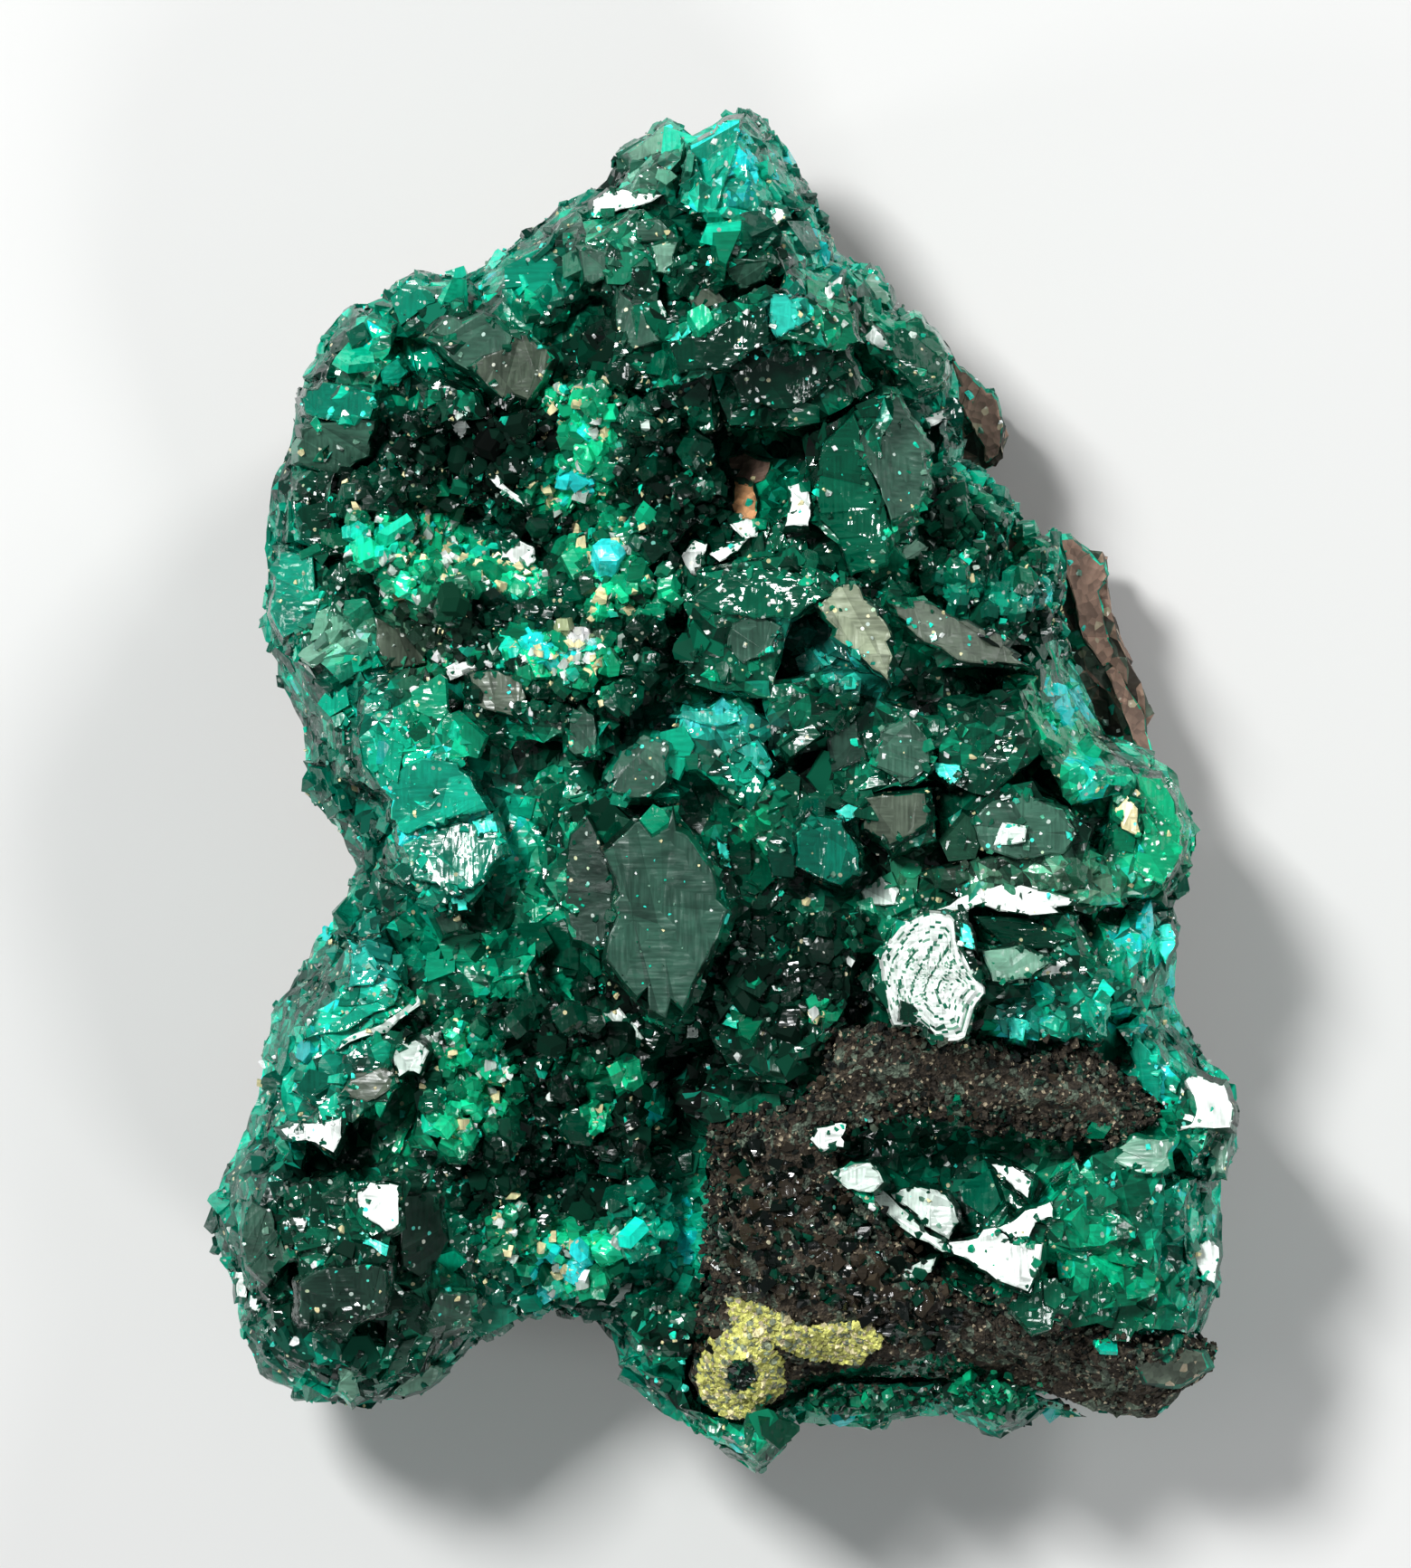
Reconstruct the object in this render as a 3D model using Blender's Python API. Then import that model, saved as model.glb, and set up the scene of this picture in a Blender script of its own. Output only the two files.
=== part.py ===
"""A hand-sized specimen of dioptase: green crystals grown together on a plate of brown rock.

The specimen lies on the flat break of its rock, with the crystals up. X runs to the right and Y up
the specimen as it is looked down on, and Z is its thickness. The origin is on the surface that it
lies on, under the middle of its outline. Lengths below are in millimetres, and every mesh is made
in millimetres and scaled to metres at the end.
"""

import math
import random
from dataclasses import dataclass

import bmesh
import bpy
from mathutils import Matrix, Vector
from mathutils.geometry import delaunay_2d_cdt

MM = 0.001

# Driving dimensions
LENGTH = 54.8
WIDTH = 41.6
GAP = 0.3

# The plane on which the crystals sit on the rock, and the broken plate of rock under it
SEAT_HEIGHT = 4.8
SEAT_RISE_X = 0.06
SEAT_RISE_Y = 0.03
SEAT_SPARE = 0.6
PLATE_INSET = 1.3
PLATE_UNEVEN = 0.4
PLATE_BARE_INSET = 0.05
BOULDER_HEIGHT = 7.0
BOULDER_RADII = (23.5, 31.0, 8.6)
BOULDER_UNEVEN = (0.94, 1.08)

# How the crystal mass swells from its rim to its middle
RIM_HEIGHT = 7.8
DOME_RISE = 8.2
DOME_RUN = 3.4

# The body under the crystals: its foot, the rings of its side over the rim's height, and its top
CORE_FOOT_INSET = 1.6
CORE_RINGS = ((0.5, -0.9), (0.2, 0.6), (1.1, 2.2))
CORE_UNEVEN = 0.6
CORE_SINK = 1.5
CORE_GRID = 3.3
CORE_ROUGHNESS = 0.5
GRID_JITTER = 0.2
GRID_CLEAR = 0.55

# Dioptase: a six-sided prism ends in three faces that lean this far from its long axis
PRISM_SIDES = 6
END_FACES = 3
END_LEAN = math.radians(51)

# The large crystals: how much wider than its face one is at its foot and its head, how far it
# stands up to be cut, and how its corners are broken off
BLOCK_FLARES = (1.12, 0.95)
BLOCK_SPARE = 3.0
BREAK_CHANCE = 0.45
BREAK_SLOPE = (0.6, 1.5)
BREAK_REACH = (0.72, 0.9)

# The broken side wall: how far it stands in from the rim, at heights over the widest place
WALL_PROFILE = ((3.4, -7.2), (1.7, -4.0), (0.0, 0.0), (0.9, 3.2), (2.8, 7.8), (3.2, 30.0))
WALL_UNEVEN = 1.0

# The crystals round the side: each tier's spacing and height over the rim's, and how they stand
RIM_TIERS = ((3.9, -0.9), (4.3, 2.4))
RIM_SPREAD = (0.8, 1.2)
RIM_RADIUS = (1.3, 2.1)
RIM_LENGTH = (4.2, 5.4)
RIM_ROOT = 0.88
RIM_PITCH = (-8, 30)
TIER_PITCH = 14
TIER_INSET = 0.9
RIM_SWAY = 0.5
RIM_UNEVEN = 0.6

# The broken crystals between the large ones
RUBBLE_COUNT = 38
RUBBLE_CLEAR = 2.2
RUBBLE_SIZE = (2.0, 3.4)
RUBBLE_TILT = 0.4
RUBBLE_SINK = (0.5, 1.0)
LUMP_STRETCH = (0.75, 1.25)
LUMP_SPLITS = 3
LUMP_REACH = (0.42, 0.55)

# A joined solid loses its slivers: edges this short, where no face turns by more than the limit
SHORT_EDGE = 0.45
SHORT_TURN = math.radians(32)
FLAT_TURN = math.radians(2.5)
SPECK = 0.02
LEAST_AREA = 1e-9
LEAST_SIDE = 1e-6

# The hollows' bowls and the crust of small crystals in them
BOWL_CURVE = 2.4
BOWL_REACHES = (1.0, 0.84, 0.56)
ROOM_BRIM = 9.0
INNER_BRIM = 6.0
OUTER_BRIM = 3.0
CRUST_THICKNESS = 1.3
CLIP_SPARE = 0.25
CRUST_SPACING = 0.95
CRUST_TRIES = 4000
CRUST_RADIUS = (0.5, 0.95)
CRUST_LENGTH = (1.7, 2.6)
CRUST_SINK = 1.1
CRUST_LEAN = 0.10
CRUST_SWAY = 0.7

# Half the width and length, and the depth, of the slab that cuts the crystals flat
CUT_REACH = (30, 35)
CUT_DEPTH = 10

# Each finish: its colour and its roughness
DIOPTASE_GREEN = ((0.01, 0.16, 0.11), 0.18)
DRUSE_GREEN = ((0.02, 0.24, 0.15), 0.22)
LEDGE_BROWN = ((0.06, 0.045, 0.032), 0.8)
BASE_BROWN = ((0.16, 0.10, 0.075), 0.85)

SEED = 29

# The rim as it is seen from above, clockwise from the summit
RIM = (
    (0.9, 27.4), (2.0, 26.5), (2.8, 25.1), (4.1, 23.2), (4.9, 21.5), (6.1, 20.9),
    (6.9, 19.5), (8.1, 18.9), (9.2, 17.6), (10.9, 15.9), (11.3, 14.6), (11.1, 13.3),
    (10.6, 12.5), (11.8, 11.2), (12.3, 10.4), (13.5, 10.6), (15.5, 9.3), (15.4, 7.9),
    (16.3, 5.3), (17.2, 3.1), (17.6, 1.2), (18.5, -0.1), (19.0, -1.7), (18.8, -3.3),
    (18.0, -5.0), (18.3, -6.0), (18.0, -7.8), (18.3, -9.2), (20.1, -11.3), (20.8, -13.1),
    (20.6, -14.6), (20.0, -15.8), (20.0, -19.6), (19.4, -22.0), (19.6, -23.2), (18.3, -24.3),
    (17.2, -25.2), (13.0, -25.1), (11.0, -26.1), (9.2, -25.2), (7.9, -25.1), (5.8, -25.7),
    (2.9, -25.4), (2.3, -26.6), (1.4, -27.4), (-0.4, -26.4), (-2.4, -25.3), (-4.2, -23.5),
    (-4.6, -22.2), (-5.4, -21.3), (-6.8, -21.1), (-8.4, -21.5), (-10.2, -22.7), (-11.8, -24.2),
    (-14.3, -24.9), (-16.5, -24.7), (-18.4, -23.8), (-19.4, -22.0), (-19.7, -20.0), (-20.8, -17.4),
    (-20.3, -15.4), (-19.3, -13.8), (-18.8, -11.2), (-18.1, -8.4), (-16.7, -6.7), (-15.3, -4.2),
    (-15.0, -3.0), (-15.8, -1.2), (-16.9, -0.2), (-16.9, 2.5), (-18.2, 5.1), (-18.6, 6.6),
    (-18.4, 11.9), (-17.4, 14.4), (-17.2, 16.1), (-16.2, 18.2), (-14.9, 19.6), (-13.9, 19.7),
    (-12.5, 20.8), (-10.6, 20.6), (-8.8, 21.8), (-6.4, 23.7), (-5.1, 24.3), (-4.0, 25.9),
    (-2.1, 26.8), (-1.4, 26.2), (0.0, 27.0),
)


@dataclass(frozen=True)
class Bare:
    """A stretch of the right-hand rim where the crystals draw back and the rock shows."""

    top: float
    bottom: float
    draw: float


BARE_ROCK = (Bare(16.9, 12.6, 1.7), Bare(10.5, 2.2, 2.1))


@dataclass(frozen=True)
class Swell:
    """A rise, or with a negative height a hollow, in the surface that the crystals stand on."""

    x: float
    y: float
    reach_x: float
    reach_y: float
    height: float


SWELLS = (
    Swell(1.5, 18.6, 5.0, 3.0, 3.0),
    Swell(6.0, 12.5, 3.0, 4.5, 1.8),
    Swell(4.5, 6.0, 6.0, 3.0, 2.6),
    Swell(-2.4, -4.5, 3.6, 5.0, 2.4),
    Swell(8.5, -7.0, 5.0, 3.6, 2.2),
    Swell(-11.5, -1.0, 3.0, 5.0, 0.8),
    Swell(-15.5, -17.5, 3.0, 4.5, 1.2),
    Swell(-1.5, -13.0, 1.5, 3.8, -5.0),
    Swell(1.0, 13.3, 2.4, 1.3, -3.2),
    Swell(8.6, -16.0, 4.4, 2.2, -2.8),
)


@dataclass(frozen=True)
class Hollow:
    """A bowl in the crystals that a crust of small crystals lines."""

    name: str
    outline: tuple
    depth: float
    count: int
    seed: int


HOLLOWS = (
    Hollow(
        "druse_upper",
        (
            (-15.4, 12.4), (-12.6, 14.4), (-9.0, 14.8), (-6.6, 16.4), (-3.6, 16.2), (-0.8, 14.2),
            (0.6, 11.6), (-2.4, 8.8), (-2.0, 5.4), (-3.4, 2.8), (-6.4, 3.2), (-9.4, 3.6),
            (-11.8, 6.8), (-15.2, 8.8),
        ),
        4.0, 74, 21,
    ),
    Hollow(
        "druse_lower",
        (
            (-12.6, -9.6), (-8.8, -8.2), (-5.2, -8.8), (-3.4, -10.4), (-3.2, -14.8), (-1.6, -17.0),
            (-2.4, -18.6), (-5.4, -19.0), (-9.0, -19.0), (-10.8, -15.2), (-12.4, -12.6),
        ),
        3.4, 54, 8,
    ),
)


@dataclass(frozen=True)
class Block:
    """One crystal that shows a flat face: the face's outline from above, and how it is set.

    rise is the face's height over the ground there, and falls the degrees that the face drops
    towards +X and towards +Y.
    """

    name: str
    outline: tuple
    rise: float
    falls: tuple
    depth: float = 7.0


CRYSTALS = (
    Block(
        "summit",
        ((-1.8, 23.2), (-1.3, 26.0), (0.9, 27.2), (2.7, 25.0), (3.6, 23.4), (1.0, 22.2)),
        2.6, (6, 14),
    ),
    Block(
        "summit_left",
        ((-4.7, 24.3), (-3.9, 25.8), (-2.1, 26.7), (-1.5, 26.0), (-2.0, 24.0)),
        2.4, (-14, 12),
    ),
    Block(
        "summit_chip",
        ((-5.4, 22.9), (-5.1, 23.9), (-2.6, 23.6), (-3.6, 23.0)),
        2.2, (-13, 15), 4.0,
    ),
    Block(
        "shoulder_top",
        ((-6.5, 22.4), (-3.3, 23.0), (-1.8, 22.4), (-1.7, 20.5), (-5.4, 19.5)),
        1.0, (-5, 9),
    ),
    Block(
        "terrace_upper",
        ((-2.6, 20.6), (0.4, 22.1), (3.2, 22.3), (4.0, 20.9), (-1.8, 19.5)),
        0.9, (-2, -16),
    ),
    Block(
        "terrace_middle",
        ((-3.8, 17.7), (1.6, 19.6), (4.2, 19.4), (4.6, 17.6), (-2.6, 15.9)),
        1.8, (2, -20),
    ),
    Block(
        "terrace_lower",
        ((-0.6, 16.3), (4.2, 17.9), (5.8, 15.9), (3.4, 14.3), (0.2, 14.5)),
        1.0, (0, -27),
    ),
    Block(
        "terrace_end",
        ((2.0, 19.0), (3.2, 22.3), (4.8, 21.6), (5.5, 18.4), (4.2, 18.0)),
        2.2, (14, 2),
    ),
    Block(
        "shoulder_right",
        ((5.2, 18.0), (5.3, 20.9), (6.7, 19.6), (8.9, 17.6), (9.3, 15.6), (6.8, 16.3)),
        1.6, (20, 12),
    ),
    Block(
        "grey_leaf",
        ((5.4, 13.6), (6.8, 15.6), (8.2, 13.6), (8.1, 11.3), (6.9, 10.3)),
        1.3, (7, 2),
    ),
    Block(
        "wedge",
        ((3.2, 13.9), (6.7, 15.6), (6.0, 12.0), (6.9, 10.0), (6.0, 8.0), (3.7, 10.4)),
        1.0, (-8, -6),
    ),
    Block(
        "flank_upper",
        ((8.2, 11.0), (8.8, 14.6), (10.4, 13.0), (12.1, 10.5), (10.6, 8.6)),
        1.8, (17, 10),
    ),
    Block(
        "flank_lower",
        ((7.3, 9.2), (10.6, 9.6), (13.3, 9.4), (13.6, 5.6), (10.2, 5.8)),
        1.5, (15, 3),
    ),
    Block(
        "centre_block",
        ((-1.5, 6.4), (-1.0, 8.6), (2.4, 9.2), (5.6, 8.0), (2.6, 6.6), (1.6, 3.6), (-1.4, 4.2)),
        0.9, (-5, -4),
    ),
    Block(
        "leaf_left",
        ((3.7, 7.2), (5.1, 7.9), (6.4, 7.0), (6.7, 4.2), (5.0, 5.2)),
        0.8, (5, -3),
    ),
    Block(
        "leaf_right",
        ((6.4, 7.2), (8.0, 7.5), (11.9, 4.8), (8.6, 4.9)),
        1.1, (5, -2),
    ),
    Block(
        "dark_west",
        ((3.6, 1.6), (6.4, 3.6), (8.2, 2.8), (8.1, 0.2), (4.8, -0.4)),
        0.8, (-5, 2),
    ),
    Block(
        "dark_east",
        ((8.6, 3.6), (11.9, 3.8), (12.3, 1.2), (10.4, -0.3), (8.5, 0.6)),
        1.4, (7, 3),
    ),
    Block(
        "dark_south",
        ((5.5, -0.6), (8.0, 0.0), (8.4, -1.9), (6.6, -2.7)),
        1.0, (3, -5),
    ),
    Block(
        "dark_shelf",
        ((8.5, 0.1), (12.0, 0.1), (14.5, -1.4), (14.2, -3.0), (8.6, -2.2)),
        1.1, (5, -7),
    ),
    Block(
        "green_gem",
        ((2.8, -2.8), (3.2, -1.1), (4.5, -1.1), (5.5, -2.4), (4.5, -4.0)),
        1.2, (4, -9), 5.0,
    ),
    Block(
        "bulge_upper",
        ((12.2, 2.0), (12.3, 4.9), (14.2, 5.2), (17.0, 1.8), (16.6, 0.2), (13.8, -0.6)),
        1.9, (16, 4),
    ),
    Block(
        "bulge_lower",
        ((14.6, -2.6), (15.6, 0.4), (17.6, 0.8), (18.8, -1.6), (18.1, -4.2), (15.8, -4.4)),
        1.4, (19, -3),
    ),
    Block(
        "edge_middle",
        ((15.2, -6.4), (16.2, -4.8), (18.0, -5.2), (17.8, -8.4), (15.4, -9.0)),
        1.7, (18, 3),
    ),
    Block(
        "edge_lower",
        ((15.6, -9.4), (17.9, -8.6), (18.9, -10.4), (17.8, -12.4), (16.8, -11.4)),
        1.6, (16, -4),
    ),
    Block(
        "grey_shelf",
        ((7.4, -3.4), (11.6, -2.4), (15.8, -2.5), (15.6, -4.6), (9.6, -4.6)),
        0.9, (6, -6),
    ),
    Block(
        "shell",
        ((5.5, -7.8), (6.8, -5.3), (9.4, -4.9), (10.3, -7.6), (9.5, -10.0), (7.2, -9.3)),
        0.9, (-11, 10),
    ),
    Block(
        "pale_facet",
        ((9.7, -6.1), (12.9, -6.7), (12.2, -7.7), (10.2, -7.8)),
        1.1, (-4, 6), 5.0,
    ),
    Block(
        "teal_pocket",
        ((9.7, -4.9), (13.8, -5.0), (15.2, -7.4), (14.8, -9.9), (10.0, -9.9)),
        0.4, (5, 3),
    ),
    Block(
        "mirror",
        ((9.7, -18.3), (11.0, -16.5), (12.8, -17.4), (12.3, -20.0)),
        1.2, (-11, 11), 5.0,
    ),
    Block(
        "mirror_band",
        ((4.9, -15.4), (5.8, -14.7), (9.2, -17.0), (8.9, -18.4), (6.8, -17.6)),
        0.5, (-11, 11), 5.0,
    ),
    Block(
        "mirror_shard",
        ((10.4, -14.7), (12.4, -15.4), (12.2, -16.4), (11.2, -15.8)),
        2.2, (-10, 11), 4.0,
    ),
    Block(
        "lower_right",
        ((13.0, -15.6), (15.4, -14.2), (17.4, -14.8), (17.2, -20.2), (13.6, -21.0)),
        0.9, (6, -3),
    ),
    Block(
        "lower_edge",
        ((17.8, -15.4), (19.8, -16.0), (19.7, -19.8), (18.8, -21.6), (16.6, -21.4)),
        1.7, (20, -6),
    ),
    Block(
        "striated",
        ((17.8, -13.0), (18.6, -11.2), (20.2, -11.9), (20.4, -14.4), (18.6, -15.2)),
        2.0, (14, 5),
    ),
    Block(
        "tip",
        ((-3.9, -23.0), (-0.2, -26.1), (1.4, -27.2), (2.3, -26.2), (1.6, -24.6), (-1.6, -22.0)),
        0.4, (-3, -20), 5.0,
    ),
    Block(
        "foot_middle",
        ((3.6, -25.4), (5.8, -25.6), (7.6, -25.2), (8.4, -23.8), (4.2, -23.6)),
        0.3, (2, -20), 5.0,
    ),
    Block(
        "foot_right",
        ((9.2, -25.0), (11.0, -25.9), (12.6, -25.0), (12.0, -23.4), (9.6, -23.4)),
        0.3, (6, -18), 5.0,
    ),
    Block(
        "diamond",
        ((-2.0, -1.0), (-0.3, -3.2), (0.2, -5.0), (-1.2, -8.4), (-2.3, -9.4), (-4.7, -7.1), (-4.4, -3.2)),
        1.0, (2, -3),
    ),
    Block(
        "diamond_left",
        ((-6.5, -0.6), (-3.2, -1.2), (-4.4, -3.2), (-4.6, -6.2), (-7.4, -3.8)),
        0.4, (-15, -2),
    ),
    Block(
        "amber_facet",
        ((-4.6, -0.2), (-3.9, 1.5), (-2.5, 2.1), (-1.8, -0.6)),
        1.0, (-6, 8), 5.0,
    ),
    Block(
        "teal_streak",
        ((-2.2, 1.4), (-1.8, 3.2), (0.6, 3.1), (2.2, 0.8), (0.6, -0.6)),
        0.8, (5, 9),
    ),
    Block(
        "grey_chip",
        ((-6.3, 1.4), (-5.8, 2.8), (-4.9, 2.7), (-4.8, 1.2)),
        1.2, (-8, 4), 4.0,
    ),
    Block(
        "left_upper",
        ((-14.9, 0.4), (-14.4, 4.2), (-12.0, 4.8), (-10.0, 1.6), (-11.6, -0.8)),
        1.5, (-15, 3),
    ),
    Block(
        "left_lower",
        ((-13.8, -3.4), (-12.6, -0.4), (-10.2, 0.8), (-8.7, -2.2), (-10.6, -5.2)),
        1.3, (-12, 2),
    ),
    Block(
        "left_wall",
        ((-17.0, 1.4), (-18.0, 5.6), (-17.9, 9.6), (-15.9, 9.0), (-14.2, 5.2), (-15.0, 1.0)),
        1.5, (-30, 0),
    ),
    Block(
        "left_crest",
        ((-17.6, 10.0), (-17.2, 13.0), (-15.6, 12.6), (-15.8, 9.6)),
        1.4, (-24, 4),
    ),
    Block(
        "shoulder_left",
        ((-17.2, 13.3), (-16.9, 15.9), (-13.9, 16.2), (-13.8, 14.4), (-15.8, 13.0)),
        1.7, (-15, -3),
    ),
    Block(
        "brow_left",
        ((-16.8, 16.4), (-15.0, 19.2), (-13.2, 18.6), (-13.2, 16.4)),
        1.4, (-18, 14),
    ),
    Block(
        "brow_right",
        ((-14.2, 19.2), (-12.4, 20.6), (-10.4, 20.3), (-10.4, 18.4), (-13.0, 17.8)),
        1.4, (-6, 18),
    ),
    Block(
        "plate",
        ((-12.0, 17.8), (-11.3, 18.6), (-7.8, 18.1), (-6.8, 17.0), (-8.3, 15.2)),
        2.7, (-4, -5),
    ),
    Block(
        "upper_slope",
        ((-9.8, 20.4), (-6.8, 22.9), (-5.2, 23.6), (-5.4, 20.2), (-6.4, 18.6), (-9.4, 18.4)),
        1.2, (-8, 20),
    ),
    Block(
        "lobe_upper",
        ((-18.3, -10.4), (-16.2, -6.2), (-13.4, -5.8), (-12.4, -8.6), (-16.0, -12.0)),
        1.7, (-18, 8),
    ),
    Block(
        "lobe_ridge",
        ((-16.2, -12.8), (-14.8, -10.2), (-12.6, -9.6), (-12.8, -11.8), (-14.6, -13.2)),
        1.7, (-8, 9),
    ),
    Block(
        "lobe_left",
        ((-18.9, -13.4), (-16.6, -12.6), (-16.8, -18.0), (-18.6, -20.4), (-20.4, -17.4)),
        1.6, (-30, 2),
    ),
    Block(
        "lobe_chip",
        ((-17.0, -13.6), (-16.0, -12.8), (-15.1, -13.0), (-15.5, -14.8)),
        2.2, (-13, 12), 4.0,
    ),
    Block(
        "lobe_white",
        ((-14.6, -15.5), (-12.9, -15.5), (-12.8, -17.4), (-14.3, -17.3)),
        1.7, (-11, 10), 5.0,
    ),
    Block(
        "lobe_dark",
        ((-17.4, -15.8), (-14.6, -15.2), (-13.2, -17.6), (-13.3, -20.6), (-16.4, -21.4)),
        1.2, (-7, -6),
    ),
    Block(
        "lobe_bottom",
        ((-19.1, -21.4), (-15.2, -21.0), (-13.9, -22.6), (-14.8, -24.7), (-18.4, -23.4)),
        1.2, (-12, -24),
    ),
    Block(
        "lobe_grey",
        ((-13.4, -20.0), (-10.0, -19.8), (-9.5, -21.6), (-11.9, -23.9), (-14.0, -24.4)),
        1.3, (6, -20),
    ),
    Block(
        "hollow_sill",
        ((-0.6, -9.6), (0.8, -5.4), (5.4, -4.8), (4.6, -9.0), (2.6, -11.6), (0.4, -11.4)),
        0.5, (-5, -7),
    ),
)

# The brown rock that is left between the crystals, lower right, with a lump of crust at its end
LEDGE_OUTLINE = (
    (4.1, -11.7), (4.5, -9.9), (6.4, -9.6), (9.4, -10.1), (11.9, -11.0), (14.1, -10.5),
    (15.9, -11.7), (17.1, -12.8), (15.6, -13.8), (10.8, -13.3), (7.2, -12.5), (4.2, -13.9),
    (4.7, -15.9), (7.2, -18.8), (9.0, -20.2), (13.7, -21.6), (19.8, -22.1), (20.0, -23.4),
    (17.2, -25.6), (12.8, -24.1), (8.6, -23.5), (4.4, -23.4), (2.7, -24.2), (0.7, -25.2),
    (-0.8, -24.7), (-1.4, -23.4), (-0.6, -20.6), (-0.4, -15.0), (0.2, -13.2), (2.9, -12.8),
)
LEDGE_RISE = 0.5
LEDGE_DEPTH = 4.6
LEDGE_SWELLS = (
    Swell(8.0, -11.2, 6.5, 1.4, 0.9),
    Swell(0.6, -23.0, 2.0, 1.8, 0.9),
    Swell(3.8, -21.6, 2.4, 1.0, 0.7),
    Swell(18.2, -23.4, 1.8, 1.0, 0.8),
)
LEDGE_GRID = 1.9
LEDGE_ROUGHNESS = 0.35
LEDGE_FLOOR = 1.4
LEDGE_LIP = 0.5
LEDGE_ROOM = 4.0


def clear_scene():
    """Removes the objects of the start-up scene."""
    for stale in list(bpy.data.objects):
        bpy.data.objects.remove(stale, do_unlink=True)


def new_collection(name):
    """A new collection in the scene."""
    made = bpy.data.collections.new(name)
    bpy.context.scene.collection.children.link(made)
    return made


def finish_material(name, finish):
    """A Principled material of one colour."""
    colour, roughness = finish
    material = bpy.data.materials.new(name)
    material.use_nodes = True
    shader = material.node_tree.nodes["Principled BSDF"]
    shader.inputs["Base Color"].default_value = (*colour, 1.0)
    shader.inputs["Roughness"].default_value = roughness
    shader.inputs["Metallic"].default_value = 0.0
    return material


def make_object(name, bm, collection, helper=False):
    """Turns a bmesh in millimetres into an object in metres, and marks cutters as helpers."""
    bmesh.ops.recalc_face_normals(bm, faces=bm.faces)
    if bm.calc_volume(signed=True) < 0:
        bmesh.ops.reverse_faces(bm, faces=bm.faces)
    bm.transform(Matrix.Scale(MM, 4))
    mesh = bpy.data.meshes.new(name)
    bm.to_mesh(mesh)
    bm.free()
    made = bpy.data.objects.new(name, mesh)
    collection.objects.link(made)
    if helper:
        made.hide_render = True
        made.display_type = "WIRE"
    return made


def seat(x, y):
    """The height of the plane between the rock and the crystals."""
    return SEAT_HEIGHT + SEAT_RISE_X * x + SEAT_RISE_Y * y


def rim_distance(x, y):
    """How far a point inside the rim is from it."""
    point = Vector((x, y))
    nearest = math.inf
    for start, end in zip(RIM, RIM[1:] + RIM[:1]):
        a, b = Vector(start), Vector(end)
        along = (point - a).dot(b - a) / (b - a).length_squared
        nearest = min(nearest, (point - a.lerp(b, min(1.0, max(0.0, along)))).length)
    return nearest


def lift(swells, x, y):
    """How much a set of swells raises one point."""
    total = 0.0
    for swell in swells:
        across = ((x - swell.x) / swell.reach_x) ** 2 + ((y - swell.y) / swell.reach_y) ** 2
        total += swell.height * math.exp(-across)
    return total


def ground(x, y):
    """The height of the surface that the crystals stand out from."""
    dome = RIM_HEIGHT + DOME_RISE * (1 - math.exp(-rim_distance(x, y) / DOME_RUN))
    return dome + lift(SWELLS, x, y)


def bare_draw(point):
    """How far the crystals draw back from a point of the rim to bare the rock."""
    for bare in BARE_ROCK:
        if point[0] > 0 and bare.bottom < point[1] < bare.top:
            return bare.draw
    return 0.0


def inwards_at(i):
    """The direction from a corner of the rim into the specimen."""
    along = Vector(RIM[(i + 2) % len(RIM)]) - Vector(RIM[i - 2])
    return Vector((along.y, -along.x)).normalized()


def inset_rim(inset, bares_rock=False):
    """The rim drawn inwards, and further where the crystals bare the rock."""
    drawn = []
    for i, point in enumerate(RIM):
        extra = bare_draw(point) if bares_rock else 0.0
        drawn.append(Vector(point) + inwards_at(i) * (inset + extra))
    return drawn


def inside(point, outline):
    """True for a point inside an outline."""
    crossings = 0
    for a, b in zip(outline, list(outline[1:]) + [outline[0]]):
        if (a[1] > point[1]) != (b[1] > point[1]):
            crossings += point[0] < a[0] + (point[1] - a[1]) * (b[0] - a[0]) / (b[1] - a[1])
    return crossings % 2 == 1


def middle(outline):
    """The mean of an outline's corners."""
    return sum((Vector(point) for point in outline), Vector((0, 0))) / len(outline)


def close_cut(bm):
    """Fills the hole that a bisecting plane left."""
    open_edges = [edge for edge in bm.edges if edge.is_boundary]
    bmesh.ops.contextual_create(bm, geom=open_edges)


def slice_off(bm, point, normal):
    """Cuts away what lies past a plane, and closes the cut."""
    geometry = bm.verts[:] + bm.edges[:] + bm.faces[:]
    bmesh.ops.bisect_plane(bm, geom=geometry, plane_co=point, plane_no=normal, clear_outer=True)
    close_cut(bm)


def add_wall(bm, lower, upper):
    """Joins two rings that have the same number of points by a wall of faces."""
    count = len(lower)
    for i in range(count):
        j = (i + 1) % count
        bm.faces.new((lower[i], lower[j], upper[j], upper[i]))


def add_ring(bm, points):
    """Adds a ring of corners."""
    return [bm.verts.new(point) for point in points]


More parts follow.
